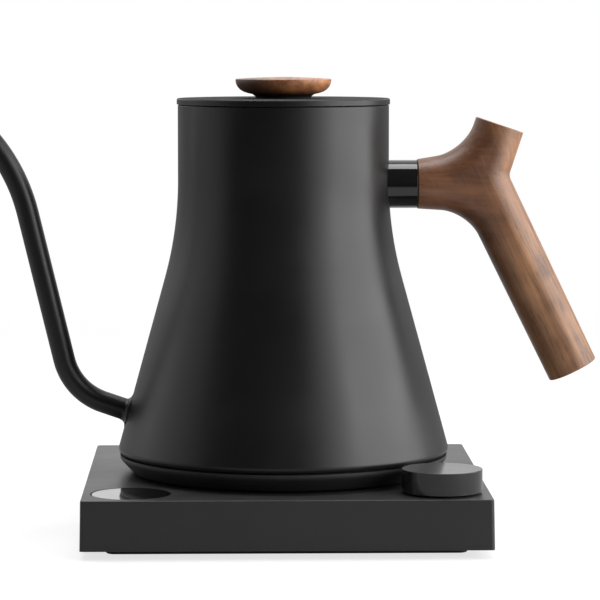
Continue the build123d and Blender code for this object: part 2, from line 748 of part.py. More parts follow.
# Brass contacts at the bottom of the plug's grooves, with tails down to the power board
with BuildPart() as connector_contacts:
    for radius, angle, seat in ((0, 0, 25.45), (8.6, 90, 26.65), (12.8, 210, 26.65)):
        x, y = radius * cos(radians(angle)), radius * sin(radians(angle))
        with Locations((x, y, BOARD_Z + 1.7)):
            Cylinder(0.55, seat - BOARD_Z - 1.7, align=(Align.CENTER, Align.CENTER, Align.MIN))
        with Locations((x, y, seat)):
            Cylinder(0.85, 1.2, align=(Align.CENTER, Align.CENTER, Align.MIN))
save(connector_contacts, "connector_contacts")

with BuildPart() as connector_screws:
    for x in (-25, 25):
        with Locations((x, 0, PLUG_FLANGE - 2)):
            Cylinder(2.8, 1.95, align=(Align.CENTER, Align.CENTER, Align.MIN))
        with Locations((x, 0, PLUG_FLANGE - 0.05)):
            Cylinder(1.25, 5.4, align=(Align.CENTER, Align.CENTER, Align.MIN))
save(connector_screws, "connector_screws")

# ---------------------------------------------------------------- electronics in the base
BOARD_TOP = BOARD_Z + 1.6
with BuildPart() as power_board:
    with BuildSketch(Plane.XY.offset(BOARD_Z)):
        with Locations((0, 16)):
            RectangleRounded(92, 88, 2)
    extrude(amount=1.6)
save(power_board, "power_board")

with BuildPart() as relay:
    with BuildSketch(Plane.XY.offset(BOARD_TOP + FIT)):
        with Locations((-31, 36)):
            RectangleRounded(16, 20, 0.6)
    extrude(amount=10)
    fillet(relay.faces().sort_by(Axis.Z)[-1].edges(), 0.5)
save(relay, "relay")

with BuildPart() as transformer:
    with BuildSketch(Plane.XY.offset(BOARD_TOP + FIT)):
        with Locations((31, 36)):
            Rectangle(18, 16)
    extrude(amount=3)
    with BuildSketch(Plane.XY.offset(BOARD_TOP + 3)):
        with Locations((31, 36)):
            Rectangle(14, 12)
    extrude(amount=4.2)
    with BuildSketch(Plane.XY.offset(BOARD_TOP + 7)):
        with Locations((31, 36)):
            Rectangle(18, 16)
    extrude(amount=2.8)
save(transformer, "transformer")

with BuildPart() as capacitors:
    for x, y, r, h in ((10, 34, 4, 9), (17, 44, 3, 7), (8, 45, 3, 7)):
        with Locations((x, y, BOARD_TOP + FIT)):
            Cylinder(r, h, align=(Align.CENTER, Align.CENTER, Align.MIN))
    fillet(capacitors.faces().filter_by(Axis.Z).group_by(Axis.Z)[-1].edges(), 0.5)
save(capacitors, "capacitors")

with BuildPart() as triac_heatsink:
    with BuildSketch(Plane.XY.offset(BOARD_TOP + FIT)):
        with Locations((-32, -16)):
            Rectangle(22, 1.6)
            with GridLocations(3.4, 1, 7, 1):
                with Locations((0, 3)):
                    Rectangle(1, 6)
    extrude(amount=9)
save(triac_heatsink, "triac_heatsink")

with BuildPart() as terminal_block:
    with BuildSketch(Plane.XY.offset(BOARD_TOP + FIT)):
        with Locations((-10, 53)):
            Rectangle(21, 8)
    extrude(amount=8.5)
    with BuildSketch(Plane.XY.offset(BOARD_TOP + 8.5)):
        with Locations((-10, 53)):
            with GridLocations(6.5, 1, 3, 1):
                Circle(2)
    extrude(amount=-4, mode=Mode.SUBTRACT)
    chamfer(terminal_block.faces().sort_by(Axis.Y)[-1].edges().sort_by(Axis.Z)[-1], 1.0)
save(terminal_block, "terminal_block")

PANEL_TOP = PANEL_BOARD_Z + 1.2
with BuildPart() as control_board:
    with BuildSketch(Plane.XY.offset(PANEL_BOARD_Z)):
        with Locations((0, -66)):
            RectangleRounded(160, 28, 2)
    extrude(amount=1.2)
save(control_board, "control_board")

with BuildPart() as display_window:
    with BuildSketch(Plane.XY.offset(BASE_TOP - 1.85)):
        with Locations(DISPLAY_AT):
            Circle(DISPLAY_R - 0.15)
    extrude(amount=1.8)
    chamfer(display_window.faces().sort_by(Axis.Z)[-1].edges(), 0.2)
save(display_window, "display_window")

with BuildPart() as display_module:
    with BuildSketch(Plane.XY.offset(PANEL_TOP + FIT)):
        with Locations(DISPLAY_AT):
            RectangleRounded(26, 24, 1)
    extrude(amount=4.6)
    with BuildSketch(Plane.XY.offset(PANEL_TOP + FIT + 4.6)):
        with Locations(DISPLAY_AT):
            Rectangle(20, 15)
    extrude(amount=0.8)
save(display_module, "display_module")

with BuildPart() as buzzer:
    with Locations((0, -66, PANEL_TOP + FIT)):
        Cylinder(5, 4.4, align=(Align.CENTER, Align.CENTER, Align.MIN))
        Cylinder(1, 4.4, align=(Align.CENTER, Align.CENTER, Align.MIN), mode=Mode.SUBTRACT)
save(buzzer, "buzzer")

# Rotary encoder: a box with a round bushing up through the housing
BUSH_R = 4.4
SLEEVE_R = 3.7
SHAFT_R = 3.0
ENCODER_FLOOR = PANEL_TOP + FIT
BUSH_TOP = 25.2
with BuildPart() as encoder_housing:
    with BuildSketch(Plane.XY.offset(ENCODER_FLOOR)):
        with Locations(KNOB_AT):
            Rectangle(13, 13)
    extrude(amount=4.7)
    chamfer(encoder_housing.edges().filter_by(Axis.Z), 0.6)
    with BuildSketch(Plane.XY.offset(ENCODER_FLOOR)):
        with Locations(KNOB_AT):
            Circle(BUSH_R)
    extrude(amount=BUSH_TOP - ENCODER_FLOOR)
    with BuildSketch(Plane.XY.offset(ENCODER_FLOOR + 0.5)):
        with Locations(KNOB_AT):
            Circle(5.4)
    extrude(amount=3.3, mode=Mode.SUBTRACT)
    with BuildSketch(Plane.XY.offset(ENCODER_FLOOR + 0.5)):
        with Locations(KNOB_AT):
            Circle(SLEEVE_R + FIT)
    extrude(amount=12, mode=Mode.SUBTRACT)
save(encoder_housing, "encoder_housing")

with BuildPart() as click_dome:
    with Locations((*KNOB_AT, ENCODER_FLOOR + 0.55)):
        Cylinder(2.6, 0.25, align=(Align.CENTER, Align.CENTER, Align.MIN))
    with Locations((*KNOB_AT, ENCODER_FLOOR + 0.7)):
        Cone(2.0, 0.8, 0.3, align=(Align.CENTER, Align.CENTER, Align.MIN))
save(click_dome, "click_dome")

SLEEVE_BOTTOM = 18.7
with BuildPart() as encoder_rotor:
    with BuildSketch(Plane.XY.offset(SLEEVE_BOTTOM)):
        with Locations(KNOB_AT):
            Circle(5.1)
            Circle(SHAFT_R + FIT, mode=Mode.SUBTRACT)
    extrude(amount=1.6)
    with BuildSketch(Plane.XY.offset(SLEEVE_BOTTOM)):
        with Locations(KNOB_AT):
            Circle(SLEEVE_R)
            Circle(SHAFT_R + FIT, mode=Mode.SUBTRACT)
    extrude(amount=BUSH_TOP - 0.2 - SLEEVE_BOTTOM)
save(encoder_rotor, "encoder_rotor")

# Knob shaft with a flat, the knob on it, and its grub screw
SHAFT_BOTTOM = 18.75
SHAFT_TOP = 32.6
FLAT_BOTTOM = 25.5
with BuildPart() as encoder_shaft:
    with Locations((*KNOB_AT, SHAFT_BOTTOM)):
        Cylinder(SHAFT_R, SHAFT_TOP - SHAFT_BOTTOM, align=(Align.CENTER, Align.CENTER, Align.MIN))
    with Locations((KNOB_AT[0], KNOB_AT[1] - SHAFT_R, SHAFT_TOP)):
        Box(8, 1.4, 2 * (SHAFT_TOP - FLAT_BOTTOM), mode=Mode.SUBTRACT)
save(encoder_shaft, "encoder_shaft")

with BuildPart() as control_knob:
    with BuildSketch(Plane.XY.offset(KNOB_BOTTOM)):
        with Locations(KNOB_AT):
            Circle(KNOB_R)
    extrude(amount=KNOB_TOP - KNOB_BOTTOM)
    chamfer(control_knob.edges().group_by(Axis.Z)[-1], 0.25)
    chamfer(control_knob.edges().group_by(Axis.Z)[0], 0.2)
    # the hub stops short of the encoder's bush, also when the knob is pressed
    with BuildSketch(Plane.XY.offset(KNOB_BOTTOM)):
        with Locations(KNOB_AT):
            Circle(KNOB_R - 2)
    extrude(amount=0.7, mode=Mode.SUBTRACT)
    with BuildSketch(Plane.XY.offset(KNOB_BOTTOM)):
        with Locations(KNOB_AT):
            Circle(KNOB_R - 2)
            Circle(7, mode=Mode.SUBTRACT)
    extrude(amount=6.2, mode=Mode.SUBTRACT)
    with BuildSketch(Plane.XY.offset(KNOB_BOTTOM)):
        with Locations(KNOB_AT):
            Circle(SHAFT_R + 0.02)
            with Locations((0, -SHAFT_R)):
                Rectangle(8, 1.3, mode=Mode.SUBTRACT)
    extrude(amount=SHAFT_TOP - KNOB_BOTTOM + 0.1, mode=Mode.SUBTRACT)
    with BuildSketch(Plane.XZ.offset(-KNOB_AT[1])):
        with Locations((KNOB_AT[0], 29.2)):
            Circle(1.55)
    extrude(amount=8, mode=Mode.SUBTRACT)
save(control_knob, "control_knob")

with BuildPart() as knob_grub_screw:
    with BuildSketch(Plane.XZ.offset(-KNOB_AT[1] + 2.4)):
        with Locations((KNOB_AT[0], 29.2)):
            Circle(1.5)
    extrude(amount=4.4)
    with BuildSketch(Plane.XZ.offset(-KNOB_AT[1] + 6.8)):
        with Locations((KNOB_AT[0], 29.2)):
            RegularPolygon(0.8, 6)
    extrude(amount=-1.6, mode=Mode.SUBTRACT)
save(knob_grub_screw, "knob_grub_screw")

# ---------------------------------------------------------------- rear of the base
with BuildPart() as cord_gland:
    with BuildSketch(Plane.XZ.offset(-rear_top + 0.2)):
        with Locations((0, GLAND_Z)):
            Circle(GLAND_R)
    extrude(amount=18)
    with BuildSketch(Plane.XZ.offset(-rear_inside + 0.5)):
        with Locations((0, GLAND_Z)):
            Circle(7.6)
    extrude(amount=2.2)
    with BuildSketch(Plane.XZ.offset(-rear_top + 0.2)):
        with Locations((0, GLAND_Z)):
            Circle(CORD_R)
    extrude(amount=18, mode=Mode.SUBTRACT)
    chamfer(cord_gland.faces().sort_by(Axis.Y)[-1].edges(), 0.5)
save(cord_gland, "cord_gland")

# Two-position hold switch: its body inside, its slider in the rear wall's recess
with BuildPart() as hold_switch:
    with BuildSketch(Plane.XZ.offset(-rear_inside + 0.6)):
        with Locations((SWITCH_X + SWITCH_TRAVEL / 2, SWITCH_Z)):
            Rectangle(15, 7)
    extrude(amount=6)
    with BuildSketch(Plane.XZ.offset(-rear_inside + 0.6)):
        with Locations((SWITCH_X + SWITCH_TRAVEL / 2, SWITCH_Z)):
            Rectangle(3.2 + SWITCH_TRAVEL, 2.8)
    extrude(amount=2.5, mode=Mode.SUBTRACT)
save(hold_switch, "hold_switch")

with BuildPart() as hold_slider:
    with BuildSketch(Plane.XZ.offset(-rear_top + 0.2)):
        with Locations((SWITCH_X, SWITCH_Z)):
            RectangleRounded(5, 5, 0.6)
    extrude(amount=0.75)
    with BuildSketch(Plane.XZ.offset(-rear_top + 0.2)):
        with Locations((SWITCH_X, SWITCH_Z)):
            Rectangle(2.6, 2.2)
    extrude(amount=4)
save(hold_slider, "hold_slider")
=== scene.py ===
import math

import bmesh
import bpy
from mathutils import Matrix, Vector


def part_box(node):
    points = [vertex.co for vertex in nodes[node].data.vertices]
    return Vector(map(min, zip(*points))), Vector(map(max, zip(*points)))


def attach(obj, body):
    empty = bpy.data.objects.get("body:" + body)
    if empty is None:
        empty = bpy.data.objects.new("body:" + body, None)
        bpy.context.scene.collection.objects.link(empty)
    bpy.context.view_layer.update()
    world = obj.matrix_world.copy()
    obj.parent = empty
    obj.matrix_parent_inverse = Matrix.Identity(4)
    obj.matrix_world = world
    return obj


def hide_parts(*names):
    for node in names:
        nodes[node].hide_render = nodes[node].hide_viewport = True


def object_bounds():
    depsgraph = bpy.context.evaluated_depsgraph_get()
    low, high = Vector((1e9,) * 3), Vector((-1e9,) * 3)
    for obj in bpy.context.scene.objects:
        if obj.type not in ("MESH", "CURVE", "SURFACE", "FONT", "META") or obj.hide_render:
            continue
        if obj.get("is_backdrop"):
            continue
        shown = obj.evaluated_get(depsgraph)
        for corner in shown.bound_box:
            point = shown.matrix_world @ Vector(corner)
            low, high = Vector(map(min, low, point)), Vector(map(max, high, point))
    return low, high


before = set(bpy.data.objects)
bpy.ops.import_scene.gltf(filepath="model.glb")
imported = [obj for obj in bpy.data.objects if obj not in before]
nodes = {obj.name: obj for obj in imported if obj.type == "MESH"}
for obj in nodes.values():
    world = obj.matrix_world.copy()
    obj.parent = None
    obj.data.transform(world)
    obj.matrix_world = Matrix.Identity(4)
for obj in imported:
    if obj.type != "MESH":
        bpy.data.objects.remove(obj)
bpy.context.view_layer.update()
MM = 0.001

# ---------------------------------------------------------------- camera, floor and lights
# A long lens looks slightly down at the kettle from the front, over a plain pale floor.
# A large soft light stands at the handle's side with a dimmer one in front of it, a dim one stands
# at the spout's side, and one hangs above.
camera_data = bpy.data.cameras.new("camera")
camera_data.sensor_width = 36.0
camera_data.lens = 179.2
camera_data.clip_end = 20.0
camera = bpy.data.objects.new("camera", camera_data)
camera.location = (-0.0254, -1.3088, 0.2151)
camera.rotation_euler = (math.radians(90 - 5.00), 0.0, math.radians(-1.43))
bpy.context.scene.collection.objects.link(camera)
bpy.context.scene.camera = camera
bpy.context.scene.view_settings.view_transform = "Standard"


def soft_light(name, place, aim, width, height, watts):
    """A rectangular area light at a place, turned to face a point."""
    data = bpy.data.lights.new(name, "AREA")
    data.shape = "RECTANGLE"
    data.size = width
    data.size_y = height
    data.energy = watts
    light = bpy.data.objects.new(name, data)
    light.location = place
    light.rotation_euler = (Vector(aim) - Vector(place)).to_track_quat("-Z", "Y").to_euler()
    bpy.context.scene.collection.objects.link(light)


soft_light("handle_side_light", (0.98, -0.20, 0.30), (0, 0, 0.10), 1.15, 1.1, 15.0)
soft_light("handle_front_light", (0.68, -0.74, 0.30), (0, 0, 0.10), 0.55, 1.1, 2.8)
soft_light("spout_side_light", (-1.05, 0.06, 0.30), (0, 0, 0.10), 1.1, 1.0, 1.9)
soft_light("top_light", (0.0, 0.10, 1.10), (0, 0, 0), 1.3, 0.55, 10.0)


def add_node(tree, kind):
    return tree.nodes.new("ShaderNode" + kind)


def smooth_range(tree, limits):
    """A Map Range node with soft ends; limits gives the values of its range by socket."""
    node = add_node(tree, "MapRange")
    node.interpolation_type = "SMOOTHSTEP"
    for label, value in limits.items():
        node.inputs[label].default_value = value
    return node


def link_all(tree, *pairs):
    """Link each pair's output to its input."""
    for output, socket in pairs:
        tree.links.new(output, socket)


world = bpy.data.worlds.new("studio")
bpy.context.scene.world = world
world.use_nodes = True
sky = world.node_tree
sky.nodes.clear()
direction = add_node(sky, "TexCoord")
split = add_node(sky, "SeparateXYZ")
ramp = smooth_range(sky, {"From Min": -0.15, "From Max": 0.85, "To Min": 0.03})
horizon = smooth_range(sky, {"From Min": 0.05, "From Max": 0.17, "To Min": 0.30})
glow = add_node(sky, "Math")
glow.operation = "MULTIPLY"
backdrop = add_node(sky, "Background")
backdrop.inputs["Color"].default_value = (1, 1, 1, 1)
seen = add_node(sky, "Background")
seen.inputs["Color"].default_value = (1, 1, 1, 1)
ray = add_node(sky, "LightPath")
blend = add_node(sky, "MixShader")
sky_out = add_node(sky, "OutputWorld")
link_all(
    sky,
    (direction.outputs["Generated"], split.inputs["Vector"]),
    (split.outputs["Y"], ramp.inputs["Value"]),
    (split.outputs["Z"], horizon.inputs["Value"]),
    (ramp.outputs["Result"], glow.inputs[0]),
    (horizon.outputs["Result"], glow.inputs[1]),
    (glow.outputs["Value"], backdrop.inputs["Strength"]),
    (ray.outputs["Is Camera Ray"], blend.inputs["Fac"]),
    (backdrop.outputs["Background"], blend.inputs[1]),
    (seen.outputs["Background"], blend.inputs[2]),
    (blend.outputs["Shader"], sky_out.inputs["Surface"]),
)

bpy.ops.object.select_all(action="DESELECT")
bpy.ops.mesh.primitive_plane_add(size=14.0, location=(0, 0, 0))
floor = bpy.context.object
floor.name = "floor"
floor_material = bpy.data.materials.new("floor_paper")
floor_material.use_nodes = True
paper = floor_material.node_tree
paper.nodes.clear()
paper_lit = add_node(paper, "BsdfDiffuse")
paper_lit.inputs["Color"].default_value = (0.35, 0.35, 0.35, 1)
paper_glow = add_node(paper, "Emission")
paper_glow.inputs["Strength"].default_value = 0.72
paper_sum = add_node(paper, "AddShader")
paper_dim = add_node(paper, "BsdfDiffuse")
paper_dim.inputs["Color"].default_value = (0.43, 0.43, 0.43, 1)
paper_ray = add_node(paper, "LightPath")
paper_mix = add_node(paper, "MixShader")
paper_far = add_node(paper, "MixShader")
paper_clear = add_node(paper, "BsdfTransparent")
paper_out = add_node(paper, "OutputMaterial")
floor_place = add_node(paper, "TexCoord")
reach = add_node(paper, "VectorMath")
reach.operation = "LENGTH"
fade = smooth_range(paper, {"From Min": 0.35, "From Max": 1.1})
link_all(
    paper,
    (floor_place.outputs["Object"], reach.inputs[0]),
    (reach.outputs["Value"], fade.inputs["Value"]),
    (paper_lit.outputs["BSDF"], paper_sum.inputs[0]),
    (paper_glow.outputs["Emission"], paper_sum.inputs[1]),
    (paper_ray.outputs["Is Camera Ray"], paper_mix.inputs["Fac"]),
    (paper_dim.outputs["BSDF"], paper_mix.inputs[1]),
    (paper_sum.outputs["Shader"], paper_mix.inputs[2]),
    (fade.outputs["Result"], paper_far.inputs["Fac"]),
    (paper_mix.outputs["Shader"], paper_far.inputs[1]),
    (paper_clear.outputs["BSDF"], paper_far.inputs[2]),
    (paper_far.outputs["Shader"], paper_out.inputs["Surface"]),
)
floor.data.materials.append(floor_material)
floor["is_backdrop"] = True

# ---------------------------------------------------------------- base housing
# The square top shell of the power base, injection moulded in black plastic with a fine sparked
# texture. It sits over the bottom plate and is held by four screws from below.


def blank_material(name, roughness, metallic=0.0, specular=0.5):
    """A material with one Principled shader, and the nodes and links it is built with."""
    material = bpy.data.materials.new(name)
    material.use_nodes = True
    tree = material.node_tree
    shader = tree.nodes["Principled BSDF"]
    shader.inputs["Roughness"].default_value = roughness
    shader.inputs["Metallic"].default_value = metallic
    shader.inputs["Specular IOR Level"].default_value = specular
    return material, tree, shader


def new_group(name, inputs, outputs):
    """A node group with named inputs (name, kind, value) and outputs (name, kind)."""
    group = bpy.data.node_groups.new(name, "ShaderNodeTree")
    for label, kind, value in inputs:
        socket = group.interface.new_socket(label, in_out="INPUT", socket_type="NodeSocket" + kind)
        if value is not None:
            socket.default_value = value
    for label, kind in outputs:
        group.interface.new_socket(label, in_out="OUTPUT", socket_type="NodeSocket" + kind)
    return group, group.nodes.new("NodeGroupInput"), group.nodes.new("NodeGroupOutput")


def place(tree, group, values=None, vector=None):
    """Put a node group in a material and set its inputs; its pattern reads Object coordinates."""
    node = add_node(tree, "Group")
    node.node_tree = group
    for label, value in (values or {}).items():
        node.inputs[label].default_value = value
    if vector is None:
        vector = add_node(tree, "TexCoord").outputs["Object"]
    tree.links.new(vector, node.inputs["Vector"])
    return node


def add_math(tree, operation, first, second=None, clamp=False):
    """A Math node; each value is a number or another node's output."""
    node = add_node(tree, "Math")
    node.operation = operation
    node.use_clamp = clamp
    for socket, value in zip(node.inputs, (first, second)):
        if value is None:
            continue
        if isinstance(value, (int, float)):
            socket.default_value = value
        else:
            tree.links.new(value, socket)
    return node.outputs[0]


def add_split(tree, vector):
    """The outputs X, Y and Z of a vector."""
    node = add_node(tree, "SeparateXYZ")
    tree.links.new(vector, node.inputs["Vector"])
    return node.outputs


def add_noise(tree, vector, scale, detail=3.0, roughness=0.5):
    """Noise at a scale, which is a number or another node's output."""
    noise = add_node(tree, "TexNoise")
    noise.inputs["Detail"].default_value = detail
    noise.inputs["Roughness"].default_value = roughness
    tree.links.new(vector, noise.inputs["Vector"])
    if isinstance(scale, (int, float)):
        noise.inputs["Scale"].default_value = scale
    else:
        tree.links.new(scale, noise.inputs["Scale"])
    return noise.outputs["Fac"]


def add_range(tree, value, low, high, out_low, out_high):
    """Stretch a value from one range to another, clamped."""
    node = add_node(tree, "MapRange")
    for label, number in (("From Min", low), ("From Max", high), ("To Min", out_low), ("To Max", out_high)):
        if isinstance(number, (int, float)):
            node.inputs[label].default_value = number
        else:
            tree.links.new(number, node.inputs[label])
    tree.links.new(value, node.inputs["Value"])
    return node.outputs["Result"]


def add_mix(tree, factor, first, second):
    """Mix two colours; each is a colour or another node's output."""
    node = add_node(tree, "Mix")
    node.data_type = "RGBA"
    tree.links.new(factor, node.inputs["Factor"])
    for socket, value in ((node.inputs["A"], first), (node.inputs["B"], second)):
        if isinstance(value, tuple):
            socket.default_value = value
        else:
            tree.links.new(value, socket)
    return node.outputs["Result"]


def add_bump(tree, shader, height, distance):
    """Raise and sink the surface by a height, over a distance in metres."""
    bump = add_node(tree, "Bump")
    bump.inputs["Distance"].default_value = distance
    bump.inputs["Strength"].default_value = 1.0
    link_all(tree, (height, bump.inputs["Height"]), (bump.outputs["Normal"], shader.inputs["Normal"]))


def by_patches(tree, skin, low, high):
    """A value that goes from low to high with the slow patches of a skin."""
    return add_range(tree, skin.outputs["Patches"], 0.3, 0.7, low, high)


DUST_TONE = (0.42, 0.41, 0.39, 1)

# Fine grain of a moulded or sprayed skin: a height, and slow patches that vary its gloss and tone
skin_grain, g_in, g_out = new_group(
    "skin_grain",
    [("Vector", "Vector", None), ("Grain Scale", "Float", 1800.0), ("Patch Scale", "Float", 28.0)],
    [("Height", "Float"), ("Patches", "Float")],
)
grain = add_noise(skin_grain, g_in.outputs["Vector"], g_in.outputs["Grain Scale"], 2.0, 0.6)
patches = add_noise(skin_grain, g_in.outputs["Vector"], g_in.outputs["Patch Scale"], 4.0, 0.55)
skin_grain.links.new(grain, g_out.inputs["Height"])
skin_grain.links.new(patches, g_out.inputs["Patches"])

# Dust that settles on faces turned upwards: a mask of fine specks and faint clouds
dust, g_in, g_out = new_group(
    "dust",
    [("Vector", "Vector", None), ("Amount", "Float", 0.1)],
    [("Mask", "Float")],
)
facing = add_split(dust, add_node(dust, "NewGeometry").outputs["Normal"])
upwards = add_range(dust, facing["Z"], 0.55, 1.0, 0.0, 1.0)
specks = add_range(dust, add_noise(dust, g_in.outputs["Vector"], 2600.0, 1.0), 0.68, 0.80, 0.0, 1.0)
clouds = add_range(dust, add_noise(dust, g_in.outputs["Vector"], 60.0, 3.0), 0.35, 0.75, 0.0, 0.5)
cover = add_math(dust, "MAXIMUM", specks, clouds)
amount = add_math(dust, "MULTIPLY", cover, g_in.outputs["Amount"])
dust.links.new(add_math(dust, "MULTIPLY", amount, upwards, clamp=True), g_out.inputs["Mask"])

# Painted edge highlight: a mask, broken up by noise, of where the rounded normal leaves the true one;
# materials paint their colour paler there
painted_edge_highlight, g_in, g_out = new_group(
    "painted_edge_highlight",
    [("Vector", "Vector", None), ("Width", "Float", 0.0006), ("Amount", "Float", 0.5)],
    [("Mask", "Float")],
)
soft_normal = add_node(painted_edge_highlight, "Bevel")
soft_normal.samples = 4
painted_edge_highlight.links.new(g_in.outputs["Width"], soft_normal.inputs["Radius"])
likeness = add_node(painted_edge_highlight, "VectorMath")
likeness.operation = "DOT_PRODUCT"
painted_edge_highlight.links.new(soft_normal.outputs["Normal"], likeness.inputs[0])
painted_edge_highlight.links.new(add_node(painted_edge_highlight, "NewGeometry").outputs["Normal"], likeness.inputs[1])
edge = add_range(painted_edge_highlight, likeness.outputs["Value"], 0.99, 0.85, 0.0, 1.0)
broken = add_range(painted_edge_highlight, add_noise(painted_edge_highlight, g_in.outputs["Vector"], 220.0, 4.0), 0.3, 0.7, 0.35, 1.0)
highlit_edge = add_math(painted_edge_highlight, "MULTIPLY", edge, broken)
painted_edge_highlight.links.new(
    add_math(painted_edge_highlight, "MULTIPLY", highlit_edge, g_in.outputs["Amount"], clamp=True), g_out.inputs["Mask"]
)


def colour_dusted(tree, shader, tone, amount):
    """Colour a shader by a tone, under a little settled dust."""
    settled = place(tree, dust, {"Amount": amount})
    tree.links.new(add_mix(tree, settled.outputs["Mask"], tone, DUST_TONE), shader.inputs["Base Color"])


def moulded_plastic(name, tone, pale, roughness, grain_scale, grain_depth, dust_amount, specular=0.5):
    """Moulded plastic: grain in its skin, slow patches in its gloss, a painted highlight along its edges and
    a little dust.
    """
    material, tree, shader = blank_material(name, roughness, specular=specular)
    skin = place(tree, skin_grain, {"Grain Scale": grain_scale})
    edge_highlight = place(tree, painted_edge_highlight, {"Amount": 0.25})
    body_tone = add_mix(tree, by_patches(tree, skin, 0.0, 1.0), tone, pale)
    # The edges are painted three times paler than the pale tone: a painted highlight.
    highlit = add_mix(tree, edge_highlight.outputs["Mask"], body_tone, tuple(min(1, 3 * c) for c in pale[:3]) + (1,))
    colour_dusted(tree, shader, highlit, dust_amount)
    gloss = by_patches(tree, skin, roughness - 0.04, roughness + 0.05)
    tree.links.new(gloss, shader.inputs["Roughness"])
    add_bump(tree, shader, skin.outputs["Height"], grain_depth)
    return material


base_plastic = moulded_plastic(
    "base_plastic", (0.026, 0.026, 0.0265, 1), (0.031, 0.031, 0.0315, 1), 0.36, 2200.0, 0.00003, 0.05
)


def start_form():
    """Deselect everything, so that the next primitive is the only thing that operators act on."""
    if bpy.context.object and bpy.context.object.mode != "OBJECT":
        bpy.ops.object.mode_set(mode="OBJECT")
    bpy.ops.object.select_all(action="DESELECT")


def named_form(name):
    """Name the primitive just added, move its place into its mesh, and open it for editing."""
    obj = bpy.context.object
    obj.name = name
    bpy.ops.object.transform_apply(location=True, rotation=True, scale=True)
    bpy.ops.object.mode_set(mode="EDIT")
    bpy.ops.mesh.select_all(action="SELECT")
    return obj


def pick(obj, test, kind="EDGE"):
    """In edit mode, select only the vertices, edges or faces that pass a test."""
    bpy.ops.mesh.select_mode(type=kind)
    bpy.ops.mesh.select_all(action="DESELECT")
    mesh = bmesh.from_edit_mesh(obj.data)
    for item in {"VERT": mesh.verts, "EDGE": mesh.edges, "FACE": mesh.faces}[kind]:
        if test(item):
            item.select_set(True)
    bmesh.update_edit_mesh(obj.data)


def round_picked(size, segments, affect="EDGES"):
    """Round what is selected, by a size in millimetres."""
    bpy.ops.mesh.bevel(offset=size * MM, segments=segments, affect=affect)


def pull(x, y, z):
    """Extrude what is selected by a step in millimetres."""
    bpy.ops.mesh.extrude_region_move(TRANSFORM_OT_translate={"value": (x * MM, y * MM, z * MM)})


def face_out():
    """Turn the normals of the form being edited outwards."""
    bpy.ops.mesh.select_all(action="SELECT")
    bpy.ops.mesh.normals_make_consistent(inside=False)


def carve(obj, cutter, operation="DIFFERENCE"):
    """Cut one form from another, or join it on, and remove the cutter."""
    start_form()
    tool = obj.modifiers.new("carve", "BOOLEAN")
    tool.operation = operation
    tool.solver = "MANIFOLD"
    tool.object = cutter
    bpy.context.view_layer.objects.active = obj
    bpy.ops.object.modifier_apply(modifier=tool.name)
    bpy.data.objects.remove(cutter)


def rod(radius, low, high, at=(0, 0), axis="Z", steps=64):
    """A plain rod to carve with; at gives its two other coordinates, all in millimetres."""
    start_form()
    middle = (low + high) / 2
    place_mm = (at[0], at[1], middle) if axis == "Z" else (at[0], middle, at[1])
    bpy.ops.mesh.primitive_cylinder_add(
        vertices=steps,
        radius=radius * MM,
        depth=(high - low) * MM,
        location=[c * MM for c in place_mm],
        rotation=(0, 0, 0) if axis == "Z" else (math.radians(90), 0, 0),
    )
    return bpy.context.object


def block(size, centre):
    """A plain block to carve with, in millimetres."""
    start_form()
    bpy.ops.mesh.primitive_cube_add(size=1, location=[c * MM for c in centre])
    bpy.context.object.scale = [c * MM for c in size]
    bpy.ops.object.transform_apply(scale=True)
    return bpy.context.object


SMOOTH_BELOW = math.radians(32)  # corners sharper than this stay crisp


def finish_form(obj, material):
    """Face normals outwards, smooth all but true corners, keep flats flat, and give the finish."""
    start_form()
    bpy.context.view_layer.objects.active = obj
    obj.select_set(True)
    bpy.ops.object.mode_set(mode="EDIT")
    bpy.ops.mesh.select_all(action="SELECT")
    bpy.ops.mesh.remove_doubles(threshold=1e-6)
    bpy.ops.mesh.normals_make_consistent(inside=False)
    bpy.ops.object.mode_set(mode="OBJECT")
    bpy.ops.object.shade_smooth_by_angle(angle=SMOOTH_BELOW)
    weigh = obj.modifiers.new("weigh", "WEIGHTED_NORMAL")
    weigh.keep_sharp = True
    bpy.ops.object.modifier_apply(modifier=weigh.name)
    obj.data.materials.clear()
    obj.data.materials.append(material)


low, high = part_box("base_housing")
base_size = (high.x - low.x) / MM
slab_bottom, base_top = low.z / MM, high.z / MM
taper = (base_top - slab_bottom) * math.tan(math.radians(1.0))  # one degree of draft a side
wall, top_plate = 2.4, 2.8
start_form()
bpy.ops.mesh.primitive_cube_add(size=1, location=(0, 0, (low.z + high.z) / 2))
bpy.context.object.scale = (high.x - low.x, high.y - low.y, high.z - low.z)
housing = named_form("power_base_housing")
pick(housing, lambda face: face.normal.z > 0.9, "FACE")
shrink = 1 - 2 * taper / base_size
bpy.ops.transform.resize(value=(shrink, shrink, 1), center_override=(0, 0, high.z))
pick(housing, lambda edge: abs((edge.verts[0].co - edge.verts[1].co).normalized().z) > 0.9)
round_picked(1.6, 6)
pick(housing, lambda edge: all(v.co.z > high.z - 1e-5 for v in edge.verts))
round_picked(0.5, 4)
pick(housing, lambda face: face.normal.z < -0.9, "FACE")
bpy.ops.mesh.inset(thickness=wall * MM)
pull(0, 0, base_top - slab_bottom - top_plate)
face_out()
panel = 65.45  # the display and the knob are this far from the middle, both ways
gland_z, hold_x, hold_z = 13.6, 48, 12.5  # the cord's hole and the hold switch in the rear wall
half = base_size / 2
top_inside = base_top - top_plate
for x, y in ((-40, -46), (40, -46), (-54, 54), (54, 54)):  # posts that take the plate's screws
    carve(housing, rod(4.0, 6.2, top_inside + 0.5, (x, y), steps=32), "UNION")
    carve(housing, rod(1.3, 5.0, 18.2, (x, y), steps=24))
carve(housing, rod(16.1, top_inside - 1, base_top + 1, steps=96))
